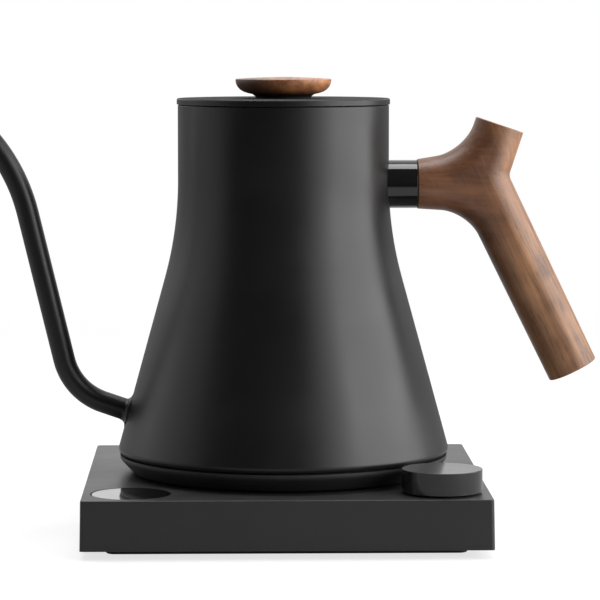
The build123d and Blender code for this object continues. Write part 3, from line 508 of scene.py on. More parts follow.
carve(housing, rod(17.0, base_top - 1.9, base_top + 1, (-panel, -panel), steps=96))
carve(housing, rod(14.5, top_inside - 1, base_top + 1, (-panel, -panel), steps=96))
carve(housing, rod(4.6, top_inside - 1, base_top + 1, (panel, -panel), steps=48))
carve(housing, rod(5.65, half - 6, half + 1, (0, gland_z), "Y", steps=48))
recess = block((14, 2.4, 7), (hold_x, half - 0.3, hold_z))
bpy.ops.object.mode_set(mode="EDIT")
pick(recess, lambda edge: abs((edge.verts[0].co - edge.verts[1].co).normalized().y) > 0.9)
round_picked(1.0, 4)
carve(housing, recess)
carve(housing, block((7, 8, 2.6), (hold_x, half - 3, hold_z)))
finish_form(housing, base_plastic)
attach(housing, "base")
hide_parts("base_housing")

# ---------------------------------------------------------------- base plate and foot ring
# The bottom plate is moulded in the same plastic as the housing and carries the boards. One ring of
# black silicone is pressed into its groove, and four zinc-plated screws hold it.


def give(material, *names):
    """Give a material to nodes that keep the shape they have."""
    for name in names:
        nodes[name].material_slots[0].material = material


give(base_plastic, "base_bottom")


def soft_silicone(name, tone, clearness=0.0):
    """Moulded silicone: a dull skin with slow patches and a trace of dust that it attracts."""
    material, tree, shader = blank_material(name, 0.6, specular=0.4)
    skin = place(tree, skin_grain, {"Grain Scale": 900.0, "Patch Scale": 60.0})
    clouded = tuple(min(1, 1.5 * c + 0.004) for c in tone[:3]) + (1,)
    body_tone = add_mix(tree, by_patches(tree, skin, 0, 1), tone, clouded)
    colour_dusted(tree, shader, body_tone, 0.25)
    tree.links.new(by_patches(tree, skin, 0.52, 0.68), shader.inputs["Roughness"])
    shader.inputs["Transmission Weight"].default_value = clearness
    shader.inputs["IOR"].default_value = 1.41
    add_bump(tree, shader, skin.outputs["Height"], 0.00002)
    return material


silicone_black = soft_silicone("silicone_black", (0.012, 0.012, 0.012, 1))
silicone_clear = soft_silicone("silicone_clear", (0.72, 0.72, 0.70, 1), 0.35)
give(silicone_black, "foot_ring", "cord_gland")

# Lines left by rolling, brushing or turning: fine grooves that run along X, or round the Z axis
# when Turned is 1, and the tone that goes with them
tool_lines, g_in, g_out = new_group(
    "tool_lines",
    [("Vector", "Vector", None), ("Fineness", "Float", 900.0), ("Turned", "Float", 0.0)],
    [("Height", "Float"), ("Tone", "Float")],
)
split = add_split(tool_lines, g_in.outputs["Vector"])
level = add_node(tool_lines, "CombineXYZ")
tool_lines.links.new(split["X"], level.inputs["X"])
tool_lines.links.new(split["Y"], level.inputs["Y"])
away = add_node(tool_lines, "VectorMath")
away.operation = "LENGTH"
tool_lines.links.new(level.outputs["Vector"], away.inputs[0])
straight = add_math(tool_lines, "MULTIPLY", split["X"], 0.03)
ringed = add_math(tool_lines, "MULTIPLY", away.outputs["Value"], g_in.outputs["Turned"])
unringed = add_math(tool_lines, "SUBTRACT", 1.0, g_in.outputs["Turned"])
across = add_node(tool_lines, "CombineXYZ")
tool_lines.links.new(add_math(tool_lines, "MULTIPLY", straight, unringed), across.inputs["X"])
tool_lines.links.new(
    add_math(tool_lines, "ADD", ringed, add_math(tool_lines, "MULTIPLY", split["Y"], unringed)),
    across.inputs["Y"],
)
tool_lines.links.new(split["Z"], across.inputs["Z"])
grooves = add_noise(tool_lines, across.outputs["Vector"], g_in.outputs["Fineness"], 4.0, 0.65)
tool_lines.links.new(grooves, g_out.inputs["Height"])
tool_lines.links.new(add_range(tool_lines, grooves, 0.3, 0.7, 0.0, 1.0), g_out.inputs["Tone"])


def worked_metal(name, bright, dull, roughness, fineness=900.0, turned_lines=0.0):
    """Bare metal with the lines its making left, patches from handling, and a painted highlight along its
    edges.
    """
    material, tree, shader = blank_material(name, roughness, metallic=1.0)
    lines = place(tree, tool_lines, {"Fineness": fineness, "Turned": turned_lines})
    skin = place(tree, skin_grain, {"Grain Scale": 1400.0, "Patch Scale": 70.0})
    edge_highlight = place(tree, painted_edge_highlight, {"Amount": 0.4, "Width": 0.0003})
    lined = add_mix(tree, lines.outputs["Tone"], dull, bright)
    # The edges are painted a quarter brighter than the bright tone: a painted highlight.
    highlit = add_mix(tree, edge_highlight.outputs["Mask"], lined, tuple(min(1, 1.25 * c) for c in bright[:3]) + (1,))
    tree.links.new(highlit, shader.inputs["Base Color"])
    gloss = by_patches(tree, skin, roughness - 0.05, roughness + 0.07)
    tree.links.new(gloss, shader.inputs["Roughness"])
    add_bump(tree, shader, lines.outputs["Height"], 0.000012)
    return material


zinc_steel = worked_metal("zinc_steel", (0.60, 0.60, 0.62, 1), (0.48, 0.48, 0.50, 1), 0.34, 1200.0)
give(zinc_steel, "base_screws", "connector_screws", "encoder_housing", "click_dome")

# ---------------------------------------------------------------- base connector
# A round connector moulded in heat-proof black plastic; its three brass contacts carry the mains. Two
# screws hold it under the housing's middle.
connector_plastic = moulded_plastic(
    "connector_plastic", (0.013, 0.013, 0.0135, 1), (0.018, 0.018, 0.0185, 1), 0.42, 1900.0, 0.00002, 0.05
)
brass = worked_metal("brass", (0.80, 0.60, 0.27, 1), (0.62, 0.44, 0.18, 1), 0.28, 1500.0, 1.0)
give(connector_plastic, "base_connector")
give(brass, "connector_contacts")

# ---------------------------------------------------------------- power board and control board
# Two glass-fibre boards with copper tracks under green lacquer. The power board switches the mains,
# and the control board carries the display, the buzzer and the knob's encoder.
board_tracks, g_in, g_out = new_group(
    "board_tracks",
    [("Vector", "Vector", None), ("Track Scale", "Float", 240.0)],
    [("Mask", "Float"), ("Weave", "Float")],
)
cells = add_node(board_tracks, "TexVoronoi")
cells.feature = "DISTANCE_TO_EDGE"
board_tracks.links.new(g_in.outputs["Vector"], cells.inputs["Vector"])
board_tracks.links.new(g_in.outputs["Track Scale"], cells.inputs["Scale"])
tracks = add_range(board_tracks, cells.outputs["Distance"], 0.10, 0.12, 1.0, 0.0)
weave = add_node(board_tracks, "TexChecker")
weave.inputs["Scale"].default_value = 2400.0
board_tracks.links.new(g_in.outputs["Vector"], weave.inputs["Vector"])
board_tracks.links.new(tracks, g_out.inputs["Mask"])
board_tracks.links.new(weave.outputs["Fac"], g_out.inputs["Weave"])

circuit_board, tree, shader = blank_material("circuit_board", 0.28)
tracked = place(tree, board_tracks)
skin = place(tree, skin_grain, {"Grain Scale": 700.0, "Patch Scale": 90.0})
lacquer = add_mix(tree, tracked.outputs["Weave"], (0.006, 0.055, 0.022, 1), (0.008, 0.066, 0.027, 1))
tree.links.new(
    add_mix(tree, tracked.outputs["Mask"], lacquer, (0.03, 0.15, 0.055, 1)), shader.inputs["Base Color"]
)
tree.links.new(by_patches(tree, skin, 0.22, 0.34), shader.inputs["Roughness"])
add_bump(tree, shader, tracked.outputs["Mask"], 0.00003)
give(circuit_board, "power_board", "control_board")

component_plastic = moulded_plastic(
    "component_plastic", (0.030, 0.030, 0.032, 1), (0.045, 0.045, 0.047, 1), 0.48, 1600.0, 0.00002, 0.12
)
give(component_plastic, "relay", "transformer", "terminal_block", "display_module")
give(component_plastic, "buzzer", "hold_switch", "encoder_rotor")
component_aluminium = worked_metal(
    "component_aluminium", (0.66, 0.67, 0.69, 1), (0.52, 0.53, 0.55, 1), 0.36, 700.0
)
give(component_aluminium, "capacitors", "triac_heatsink")

# ---------------------------------------------------------------- hold slider
# A small flat slide in the rear wall, set to keep the water warm. Its peg reaches through a slot into
# the switch behind it.
give(connector_plastic, "hold_slider")

# ---------------------------------------------------------------- display window
# A round of smoked glass with a ground edge, glued into its seat flush with the housing's top. The
# display behind it shows nothing while the base is off.
glass, tree, shader = blank_material("display_glass", 0.05, specular=0.6)
shader.inputs["Coat Roughness"].default_value = 0.03
skin = place(tree, skin_grain, {"Grain Scale": 300.0, "Patch Scale": 45.0})
colour_dusted(tree, shader, (0.0045, 0.0045, 0.0055, 1), 0.03)
tree.links.new(add_range(tree, skin.outputs["Patches"], 0.35, 0.75, 0.04, 0.10), shader.inputs["Roughness"])
tree.links.new(by_patches(tree, skin, 0.9, 0.6), shader.inputs["Coat Weight"])


def turned(name, outline, steps=96):
    """A ring drawn out from corner to corner of its outline, each a radius and a height in millimetres."""
    start_form()
    radius, height = outline[0]
    bpy.ops.mesh.primitive_circle_add(vertices=steps, radius=radius * MM, location=(0, 0, height * MM))
    obj = named_form(name)
    for next_radius, next_height in outline[1:]:
        pull(0, 0, next_height - height)
        grow = next_radius / radius
        bpy.ops.transform.resize(value=(grow, grow, 1), center_override=(0, 0, next_height * MM))
        radius, height = next_radius, next_height
    return obj


def on_ring(radius, height):
    """A test for the edges or vertices of the ring at a radius and a height."""

    def test(item):
        corners = item.verts if hasattr(item, "verts") else [item]
        return all(
            abs(math.hypot(v.co.x, v.co.y) - radius * MM) < 2e-5 and abs(v.co.z - height * MM) < 2e-5
            for v in corners
        )

    return test


def round_ring(obj, radius, height, size, segments=4):
    """Round the corner that runs round at a radius and a height."""
    pick(obj, on_ring(radius, height))
    round_picked(size, segments)


def cap_ring(obj, radius, height):
    """Close the end ring with a face."""
    pick(obj, on_ring(radius, height))
    bpy.ops.mesh.edge_face_add()


def arc_corners(centre, radius, start, end, steps):
    """Points along an arc, in degrees from the radius direction towards up."""
    return [
        (
            centre[0] + radius * math.cos(math.radians(start + (end - start) * i / steps)),
            centre[1] + radius * math.sin(math.radians(start + (end - start) * i / steps)),
        )
        for i in range(steps + 1)
    ]


def move_form(obj, x, y):
    """Move a form made on the axis to its own place, in millimetres."""
    start_form()
    bpy.context.view_layer.objects.active = obj
    obj.select_set(True)
    obj.location = (x * MM, y * MM, 0)
    bpy.ops.object.transform_apply(location=True)


CAP_R = 8  # radius of the last ring of a flat top, closed with one face
low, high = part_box("display_window")
glass_x, glass_y = (low.x + high.x) / 2 / MM, (low.y + high.y) / 2 / MM
glass_r, glass_low, glass_top = (high.x - low.x) / 2 / MM - 0.35, low.z / MM, high.z / MM
window = turned(
    "display_glass",
    [(glass_r - 1, glass_low), (glass_r, glass_low), (glass_r, glass_top), (CAP_R, glass_top)],
)
cap_ring(window, glass_r - 1, glass_low)
cap_ring(window, CAP_R, glass_top)
round_ring(window, glass_r, glass_top, 0.25, 3)
move_form(window, glass_x, glass_y)
finish_form(window, glass)
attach(window, "base")
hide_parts("display_window")

# ---------------------------------------------------------------- control knob
# A knob turned from aluminium, hollow below, with a hub for the encoder's shaft; it is bead blasted
# and anodised black. A grub screw in the hub holds it.
anodised, tree, shader = blank_material("black_anodised", 0.15, specular=0.6)
low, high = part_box("control_knob")
knob_x, knob_y = (low.x + high.x) / 2 / MM, (low.y + high.y) / 2 / MM
knob_r, knob_low, knob_top = (high.x - low.x) / 2 / MM, low.z / MM, high.z / MM
shift = add_node(tree, "Mapping")
shift.inputs["Location"].default_value = (-knob_x * MM, -knob_y * MM, 0)
tree.links.new(add_node(tree, "TexCoord").outputs["Object"], shift.inputs["Vector"])
lines = place(tree, tool_lines, {"Fineness": 1600.0, "Turned": 1.0}, vector=shift.outputs["Vector"])
skin = place(tree, skin_grain, {"Grain Scale": 2600.0, "Patch Scale": 60.0})
edge_highlight = place(tree, painted_edge_highlight, {"Amount": 0.35, "Width": 0.0003})
lined = add_mix(tree, lines.outputs["Tone"], (0.017, 0.017, 0.0175, 1), (0.024, 0.024, 0.0245, 1))
# The edges are painted a paler grey: a painted highlight.
highlit = add_mix(tree, edge_highlight.outputs["Mask"], lined, (0.12, 0.12, 0.125, 1))
colour_dusted(tree, shader, highlit, 0.04)
tree.links.new(by_patches(tree, skin, 0.12, 0.18), shader.inputs["Roughness"])
add_bump(tree, shader, lines.outputs["Height"], 0.000006)
shaft_low, shaft_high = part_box("encoder_shaft")
shaft_r = (shaft_high.x - shaft_low.x) / 2 / MM + 0.02
bore_top = shaft_high.z / MM + 0.1
hub_r, hub_low, hollow_top, knob_wall = 7, knob_low + 0.7, knob_low + 6.2, 2
grub_screw_z = 29.2
knob = turned(
    "control_dial",
    [(shaft_r, bore_top), (shaft_r, hub_low), (hub_r, hub_low), (hub_r, hollow_top)]
    + [(knob_r - knob_wall, hollow_top), (knob_r - knob_wall, knob_low), (knob_r, knob_low)]
    + [(knob_r, knob_top), (CAP_R, knob_top)],
    128,
)
cap_ring(knob, shaft_r, bore_top)
cap_ring(knob, CAP_R, knob_top)
round_ring(knob, knob_r, knob_top, 0.25, 3)
round_ring(knob, knob_r, knob_low, 0.2, 3)
move_form(knob, knob_x, knob_y)
carve(knob, rod(1.55, knob_y - 8, knob_y - 1, (knob_x, grub_screw_z), "Y", steps=32))
finish_form(knob, anodised)
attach(knob, "knob")
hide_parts("control_knob")
bare_steel = worked_metal("bare_steel", (0.66, 0.65, 0.64, 1), (0.54, 0.53, 0.52, 1), 0.27, 1100.0, 1.0)
give(bare_steel, "encoder_shaft")
give(zinc_steel, "knob_grub_screw")

# ---------------------------------------------------------------- kettle body
# The shell is spun and rolled from one millimetre of steel, its rim turned in as a collar for the
# lid, and it is powder-coated satin black inside the neck and all over the outside.
black_coat = moulded_plastic(
    "black_coat", (0.0075, 0.0075, 0.008, 1), (0.010, 0.010, 0.0105, 1), 0.36, 1500.0, 0.000004, 0.02
)

low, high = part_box("kettle_body")
body_bottom, rim = low.z / MM, high.z / MM
neck_r, mouth_r, collar_depth, shell_wall = 46.2, 41.5, 9.0, 1.0
floor_r = 70.2  # the shell is turned in at the bottom up to this radius
flare, blend_z, blend_leg = 15.4, 132.0, 22.0  # the cone's angle, and its soft bend into the neck
half_flare = math.radians(flare / 2)
bend_r = blend_leg / math.tan(half_flare)


def cone_r(z, inset=0.0):
    """The cone's radius at a height, moved in by a wall."""
    return neck_r + (blend_z - z) * math.tan(math.radians(flare)) - inset / math.cos(math.radians(flare))


def shell_side(inset, bottom, top, steps):
    """One side of the wall from bottom to top: cone, bend, neck."""
    bend_centre = (neck_r + bend_r, blend_z + blend_leg)
    bend = arc_corners(bend_centre, bend_r + inset, 180 + flare, 180, steps)
    cone_top = bend[0][1]
    rows = 12
    cone = [bottom + (cone_top - bottom) * i / rows for i in range(rows)]
    return [(cone_r(z, inset), z) for z in cone] + bend + [(neck_r - inset, top)]


outside = shell_side(0.0, body_bottom, rim, 24)
inside = shell_side(shell_wall, body_bottom + shell_wall, rim - shell_wall, 16)
outline = [(floor_r, body_bottom + shell_wall), (floor_r, body_bottom)] + outside
outline += [(mouth_r, rim), (mouth_r, rim - collar_depth), (mouth_r + 0.8, rim - collar_depth)]
outline += [(mouth_r + 0.8, rim - shell_wall)] + inside[::-1]
shell = turned("kettle_shell", outline, 192)
pick(shell, lambda e: on_ring(floor_r, body_bottom + shell_wall)(e) or on_ring(*inside[0])(e))
bpy.ops.mesh.bridge_edge_loops()
round_ring(shell, outside[0][0], body_bottom, 3.4, 10)
round_ring(shell, neck_r, rim, 0.6, 5)
round_ring(shell, mouth_r, rim, 0.7, 5)

rise_deg, first_run = 19.0, 28.7  # how the spout leaves the wall, and how far it is from its corner
spout_rise = math.radians(rise_deg)
spout_way = Vector((-math.cos(spout_rise), 0, math.sin(spout_rise)))
spout_corner = Vector((-93.1, 0, 60.4))  # where its first two straight runs would meet
spout_start = spout_corner - spout_way * first_run
tube_r = 4.8
bore = rod(tube_r + 0.05, -8, 8)
bore.rotation_euler = (0, math.radians(rise_deg - 90), 0)
bore.location = spout_start * MM
bpy.ops.object.transform_apply(location=True, rotation=True)
carve(shell, bore)
finish_form(shell, black_coat)
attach(shell, "kettle")
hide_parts("kettle_body")

# ---------------------------------------------------------------- spout
# A drawn steel tube, bent three times and welded into the wall; the weld is ground to a small
# fillet before coating, and the open tip is rounded.


def bend_tube(angle, radius, inner_side, end, steps):
    """Bend the tube's open end round a centre that lies to one side of it."""
    centre = (end + inner_side * radius) * MM
    bpy.ops.mesh.spin(steps=steps, angle=math.radians(angle), center=centre, axis=(0, 1, 0))
    turn_by = Matrix.Rotation(math.radians(-angle), 3, "Y")
    return centre / MM + turn_by @ (end - centre / MM), turn_by @ inner_side


def draw_tube(way, length, end):
    """Draw the open end out straight, and return where it then is."""
    bpy.ops.mesh.extrude_region_move(TRANSFORM_OT_translate={"value": way * length * MM})
    return end + way * length


start_form()
bpy.ops.mesh.primitive_circle_add(vertices=48, radius=tube_r * MM)
bpy.context.object.rotation_euler = (0, math.radians(rise_deg - 90), 0)
bpy.context.object.location = spout_start * MM
spout = named_form("spout_tube")
lean_deg = 13.5  # the long straight run leans this far from upright
low_turn, low_bend_r = 90 - rise_deg - lean_deg, 26.5
low_leg = low_bend_r * math.tan(math.radians(low_turn / 2))
end = draw_tube(spout_way, first_run - low_leg, spout_start)
side = Vector((math.sin(spout_rise), 0, math.cos(spout_rise)))
end, side = bend_tube(-low_turn, low_bend_r, side, end, 16)
way = Vector((-side.z, 0, side.x))
end = draw_tube(way, 66.3, end)
side = -side
end, side = bend_tube(24.5, 79.2, side, end, 12)
end, side = bend_tube(60.0, 24.0, side, end, 20)
way = Vector((side.z, 0, -side.x))
tip_run = 7.0
draw_tube(way, tip_run, end)
face_out()
bpy.ops.object.mode_set(mode="OBJECT")
tube_wall = spout.modifiers.new("tube_wall", "SOLIDIFY")
tube_wall.thickness = 0.8 * MM
tube_wall.offset = -1
bpy.ops.object.modifier_apply(modifier=tube_wall.name)
bpy.ops.object.mode_set(mode="EDIT")
tip = end + way * tip_run
pick(
    spout,
    lambda e: all(abs((v.co - tip * MM).dot(way)) < 1e-5 for v in e.verts) and e.calc_face_angle(0) > 1.0,
)
round_picked(0.3, 4)
finish_form(spout, black_coat)

# The weld's fillet: a ring turned flat, then stood on the tube where it meets the wall
fillet = 2.6
weld_side = arc_corners((tube_r + fillet, fillet), fillet, 180, 270, 8)
weld = turned("spout_weld", [(tube_r, fillet)] + weld_side[1:], 48)
pick(weld, on_ring(tube_r + fillet, 0.0))
draw_tube(Vector((0, 0, -1)), 1.2, Vector())
bpy.ops.object.mode_set(mode="OBJECT")
wall_lean = math.radians(flare)
wall_at = spout_start + spout_way * fillet
weld.rotation_euler = (0, wall_lean - math.radians(90), 0)
weld.location = wall_at * MM
bpy.ops.object.transform_apply(location=True, rotation=True)
finish_form(weld, black_coat)
for piece in (spout, weld):
    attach(piece, "kettle")
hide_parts("spout")

# ---------------------------------------------------------------- boiler plate and heater
# The kettle's floor is a pressed stainless plate, with an aluminium heat plate and a ring element
# brazed under it; a temperature probe and two cut-outs watch the water.
plain_aluminium = worked_metal(
    "plain_aluminium", (0.76, 0.76, 0.77, 1), (0.62, 0.62, 0.63, 1), 0.42, 500.0, 1.0
)
give(bare_steel, "boiler_plate", "temperature_probe", "cover_standoffs")
give(plain_aluminium, "heat_plate", "heating_element")
give(brass, "element_terminals", "socket_contacts")
give(component_plastic, "thermal_cutouts")

# ---------------------------------------------------------------- bottom cover and connector socket
# The cover closes the heater in from below. It is moulded in matt black plastic, with the socket for
# the base's connector in its middle, sealed by a clear ring and held by three screws.
cover_plastic = moulded_plastic(
    "cover_plastic", (0.016, 0.016, 0.0165, 1), (0.022, 0.022, 0.0225, 1), 0.5, 1800.0, 0.00003, 0.03
)
give(cover_plastic, "bottom_cover")
give(connector_plastic, "connector_socket")
give(silicone_clear, "cover_seal")
give(silicone_black, "kettle_pads")
give(zinc_steel, "bottom_cover_screws")

# ---------------------------------------------------------------- handle stem
# A steel saddle is welded inside the neck, and a short stem passes through the wall to the wood. The
# stem is painted gloss black; a brass insert in the wood takes its thread.
give(bare_steel, "handle_saddle")
give(brass, "handle_insert")
gloss, tree, shader = blank_material("stem_gloss", 0.06, specular=0.8)
skin = place(tree, skin_grain, {"Grain Scale": 500.0, "Patch Scale": 120.0})
edge_highlight = place(tree, painted_edge_highlight, {"Amount": 0.3, "Width": 0.0004})
# The third of these tones is a painted highlight, put on the stem's edges by the edge mask.
paint, faded_paint, highlight_paint = ((tone, tone, tone, 1) for tone in (0.008, 0.011, 0.05))
painted = add_mix(tree, by_patches(tree, skin, 0, 1), paint, faded_paint)
tree.links.new(add_mix(tree, edge_highlight.outputs["Mask"], painted, highlight_paint), shader.inputs["Base Color"])
tree.links.new(by_patches(tree, skin, 0.045, 0.09), shader.inputs["Roughness"])
add_bump(tree, shader, skin.outputs["Height"], 0.000004)
give(gloss, "handle_stem")

# ---------------------------------------------------------------- handle
# One piece of oiled walnut, cut to a forked outline and rounded along its long edges; its ends are
# sawn flat. A brass insert in its neck screws onto the stud of the steel stem.
wood_grain, g_in, g_out = new_group(
    "wood_grain",
    [
        ("Vector", "Vector", None),
        ("Pale", "Color", (0.4, 0.25, 0.16, 1)),
        ("Dark", "Color", (0.12, 0.06, 0.035, 1)),
        ("Stretch", "Float", 14.0),
    ],
    [("Color", "Color"), ("Height", "Float"), ("Pores", "Float")],
)
split = add_split(wood_grain, g_in.outputs["Vector"])
squeezed = add_node(wood_grain, "CombineXYZ")
along = add_math(wood_grain, "DIVIDE", split["X"], g_in.outputs["Stretch"])
wood_grain.links.new(along, squeezed.inputs["X"])
wood_grain.links.new(split["Y"], squeezed.inputs["Y"])
wood_grain.links.new(split["Z"], squeezed.inputs["Z"])
fibres = squeezed.outputs["Vector"]
lines = add_range(wood_grain, add_noise(wood_grain, fibres, 420.0, 5.0, 0.6), 0.34, 0.66, 0.0, 0.42)
figure = add_range(wood_grain, add_noise(wood_grain, fibres, 110.0, 3.0), 0.38, 0.64, 0.0, 0.38)
clouds = add_range(
    wood_grain, add_noise(wood_grain, g_in.outputs["Vector"], 60.0, 3.0), 0.38, 0.62, 0.0, 0.25
)
pores = add_range(wood_grain, add_noise(wood_grain, fibres, 1500.0, 2.0), 0.62, 0.74, 0.0, 1.0)
tone = add_math(wood_grain, "ADD", add_math(wood_grain, "ADD", lines, figure), clouds)
tone = add_math(wood_grain, "SUBTRACT", tone, add_math(wood_grain, "MULTIPLY", pores, 0.5), clamp=True)
wood_colour = add_mix(wood_grain, tone, g_in.outputs["Dark"], g_in.outputs["Pale"])
wood_grain.links.new(wood_colour, g_out.inputs["Color"])
wood_grain.links.new(tone, g_out.inputs["Height"])
wood_grain.links.new(pores, g_out.inputs["Pores"])


def oiled_walnut(name, pale, dark, roughness, angles, painted_shade_tone, painted_shade_start, painted_shade_end):
    """Oiled walnut with two runs of grain, each turned by its own angles, that meet along X; the first run
    is tinted darker as painted shade, and its border goes from a start to an end."""
    material, tree, shader = blank_material(name, roughness, specular=0.6)
    spot = add_node(tree, "TexCoord").outputs["Object"]
    painted_shade_mask = add_range(tree, add_split(tree, spot)["X"], painted_shade_start, painted_shade_end, 0.0, 1.0)
    runs = []
    for turn_by in angles:
        turn = add_node(tree, "Mapping")
        turn.inputs["Rotation"].default_value = turn_by
        tree.links.new(spot, turn.inputs["Vector"])
        runs.append(place(tree, wood_grain, {"Pale": pale, "Dark": dark}, vector=turn.outputs["Vector"]))
    first, second = runs
    # The first run takes a darker tone in place of its pale one: painted shade.
    first.inputs["Pale"].default_value = painted_shade_tone
    tree.links.new(
        add_mix(tree, painted_shade_mask, first.outputs["Color"], second.outputs["Color"]), shader.inputs["Base Color"]
    )
    gloss = add_range(tree, second.outputs["Pores"], 0, 1, roughness, roughness + 0.15)
    tree.links.new(gloss, shader.inputs["Roughness"])
    add_bump(tree, shader, second.outputs["Height"], 0.00008)
    return material


# Below X 84 to 108 mm the neck and stub get the darker tone: painted shade on the side away from the light.
grip_walnut = oiled_walnut(
    "grip_walnut",
    (0.54, 0.27, 0.13, 1),
    (0.085, 0.034, 0.017, 1),
    0.38,
    ((0, math.radians(-4), 0), (0, math.radians(-64), 0)),
    (0.27, 0.115, 0.056, 1),
    0.084,
    0.108,
)


def corner_leg(before, corner, after, radius):
    """How far from a corner its rounding of a given radius starts."""
    into, out = Vector(corner) - Vector(before), Vector(after) - Vector(corner)
    return radius * math.tan(into.angle(out) / 2)


wood_start, wood_half = 58.6, 10.9
grip = [
    (wood_start, 140.8),
    (80.7, 139.4),
    (117.7, 64.7),
    (137.7, 74.7),
    (99.0, 155.3),
    (105.2, 174.1),
    (84.6, 181.1),
    (79.4, 165.9),
    (wood_start, 162.5),
]
rounded = {1: 20.0, 4: 4.0, 7: 21.0}  # corners of that outline, and the radius each is cut with
start_form()
bpy.ops.mesh.primitive_plane_add(size=0.001, location=(grip[0][0] * MM, -wood_half * MM, grip[0][1] * MM))
handle = named_form("walnut_handle")
bpy.ops.mesh.select_mode(type="VERT")
bpy.ops.mesh.select_all(action="SELECT")
bpy.ops.mesh.merge(type="CENTER")
for (x, z), (next_x, next_z) in zip(grip, grip[1:]):
    pull(next_x - x, 0, next_z - z)
bpy.ops.mesh.select_all(action="SELECT")
bpy.ops.mesh.edge_face_add()
for index, radius in rounded.items():
    x, z = grip[index]
    leg = corner_leg(grip[index - 1], grip[index], grip[(index + 1) % len(grip)], radius)
    pick(handle, lambda v: (v.co - Vector((x, -wood_half, z)) * MM).length < 1e-5, "VERT")
    round_picked(leg, 16, "VERTICES")
bpy.ops.mesh.select_mode(type="FACE")
bpy.ops.mesh.select_all(action="SELECT")
pull(0, 2 * wood_half, 0)
face_out()


def on_end_cut(point):
    """Whether a point is on one of the three sawn ends."""
    for first, second in ((2, 3), (5, 6), (8, 0)):
        a, b = (Vector((grip[i][0], 0, grip[i][1])) * MM for i in (first, second))
        normal = (b - a).normalized().cross(Vector((0, 1, 0)))
        if abs((point - a).dot(normal)) < 1e-5:
            return True
    return False


pick(
    handle,
    lambda e: abs(e.verts[0].co.y - e.verts[1].co.y) < 1e-6
    and not on_end_cut(e.verts[0].co.lerp(e.verts[1].co, 0.5)),
)
round_picked(10.6, 12)
bpy.ops.mesh.select_all(action="SELECT")
bpy.ops.mesh.remove_doubles(threshold=1e-6)
pick(handle, lambda e: e.calc_face_angle(0) > 1.0 and on_end_cut(e.verts[0].co.lerp(e.verts[1].co, 0.5)))
round_picked(0.5, 3)
insert_bore = rod(5.05, wood_start - 1, wood_start + 16, steps=48)
insert_bore.rotation_euler = (0, math.radians(90), 0)
insert_bore.location = ((wood_start + 7.5) * MM, 0, 151.6 * MM)
bpy.ops.object.transform_apply(location=True, rotation=True)
carve(handle, insert_bore)
finish_form(handle, grip_walnut)
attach(handle, "kettle")
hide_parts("handle")

# ---------------------------------------------------------------- lid disc
# A pressed steel disc with its rim turned down, three steam holes and a screw hole, coated like
# the body. Fingers have dulled its flat top.
lid_coat, tree, shader = blank_material("lid_coat", 0.36, specular=0.45)
skin = place(tree, skin_grain, {"Grain Scale": 1500.0})
edge_highlight = place(tree, painted_edge_highlight, {"Amount": 0.3})
body_tone = add_mix(
    tree, by_patches(tree, skin, 0, 1), (0.0075, 0.0075, 0.008, 1), (0.010, 0.010, 0.0105, 1)
)
# The edges are painted paler: a painted highlight.
highlit = add_mix(tree, edge_highlight.outputs["Mask"], body_tone, (0.03, 0.03, 0.0315, 1))
colour_dusted(tree, shader, highlit, 0.02)
facing = add_split(tree, add_node(tree, "NewGeometry").outputs["Normal"])
dulled = add_range(tree, facing["Z"], 0.7, 1.0, 0.0, 0.5)
patchy = by_patches(tree, skin, 0.32, 0.42)
tree.links.new(add_math(tree, "ADD", dulled, patchy, clamp=True), shader.inputs["Roughness"])
add_bump(tree, shader, skin.outputs["Height"], 0.000004)
low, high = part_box("lid_disc")
lid_r, lid_low, lid_top = 46.65, low.z / MM, high.z / MM
hole_r, bead_r, sheet = 2.2, 30, 1  # the screw hole, the ring the lid's cover is built on, its thickness
disc = turned(
    "lid_cover",
    [(hole_r, lid_top - sheet), (hole_r, lid_top), (bead_r, lid_top), (lid_r, lid_top), (lid_r, lid_low)]
    + [(lid_r - sheet, lid_low), (lid_r - sheet, lid_top - sheet), (bead_r, lid_top - sheet)],
    160,
)
pick(disc, lambda e: on_ring(hole_r, lid_top - sheet)(e) or on_ring(bead_r, lid_top - sheet)(e))
bpy.ops.mesh.bridge_edge_loops()
round_ring(disc, lid_r, lid_top, 0.7, 6)
round_ring(disc, lid_r, lid_low, 0.2, 3)
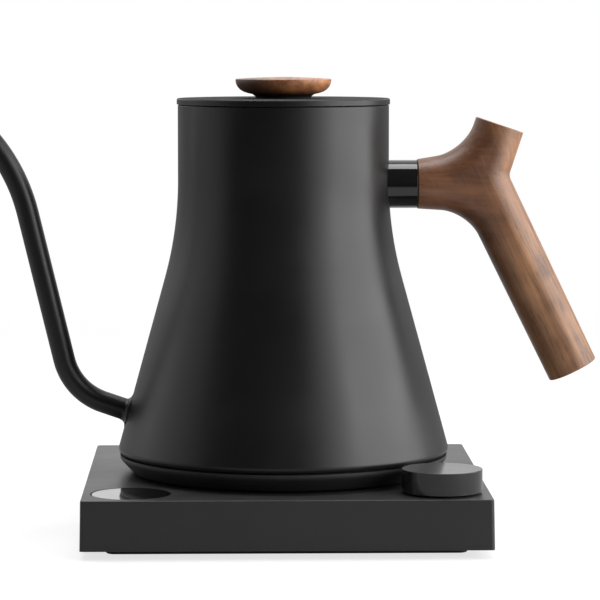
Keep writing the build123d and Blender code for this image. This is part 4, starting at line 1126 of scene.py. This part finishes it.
steam_ring_r = 31
for turn_deg in (168, 288, 48):
    spot = (steam_ring_r * math.cos(math.radians(turn_deg)), steam_ring_r * math.sin(math.radians(turn_deg)))
    carve(disc, rod(1.2, lid_top - 3, lid_top + 2, spot, steps=24))
finish_form(disc, lid_coat)
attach(disc, "lid")
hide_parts("lid_disc")

# ---------------------------------------------------------------- lid pan and seal
# A steel pan closes the lid from below, and a clear silicone ring round it grips the collar.
give(bare_steel, "lid_pan")
give(silicone_clear, "lid_seal")

# ---------------------------------------------------------------- lid knob
# A turned walnut button, a little domed, its underside curving in to the collar; its grain lies
# level. It is screwed down through a brass insert.
# The button's half at negative X gets the darker tone: painted shade on the side away from the light.
knob_walnut = oiled_walnut(
    "knob_walnut",
    (0.70, 0.30, 0.125, 1),
    (0.13, 0.045, 0.02, 1),
    0.34,
    ((0, 0, math.radians(90)), (0, 0, math.radians(90))),
    (0.20, 0.105, 0.065, 1),
    -0.013,
    0.0,
)
low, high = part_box("lid_knob")
button_r, button_low, button_top = 21.0, low.z / MM, high.z / MM
rim_z = button_top - 0.8
bowl = [(13.2, button_low), (15.6, button_low + 0.5), (17.6, button_low + 1.2), (19.0, button_low + 2.1)]
bowl += [(20.0, button_low + 3.2), (20.6, button_low + 4.3), (20.9, button_low + 5.4)]
insert_r, insert_top, top_ring = 3.25, button_low + 5.6, 4
button = turned(
    "lid_button",
    [(insert_r, insert_top), (insert_r, button_low)]
    + bowl
    + [(button_r, rim_z), (16, button_top - 0.45), (10.3, button_top - 0.2), (top_ring, button_top)],
    128,
)
cap_ring(button, top_ring, button_top)
cap_ring(button, insert_r, insert_top)
round_ring(button, button_r, rim_z, 0.45, 4)
finish_form(button, knob_walnut)
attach(button, "lid")
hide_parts("lid_knob")
give(connector_plastic, "lid_knob_collar")
give(brass, "lid_knob_insert")
give(zinc_steel, "lid_screw")

# ---------------------------------------------------------------- sizes
# The box of all the shown pieces with their finishes, without the floor.
bpy.context.view_layer.update()
low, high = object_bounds()
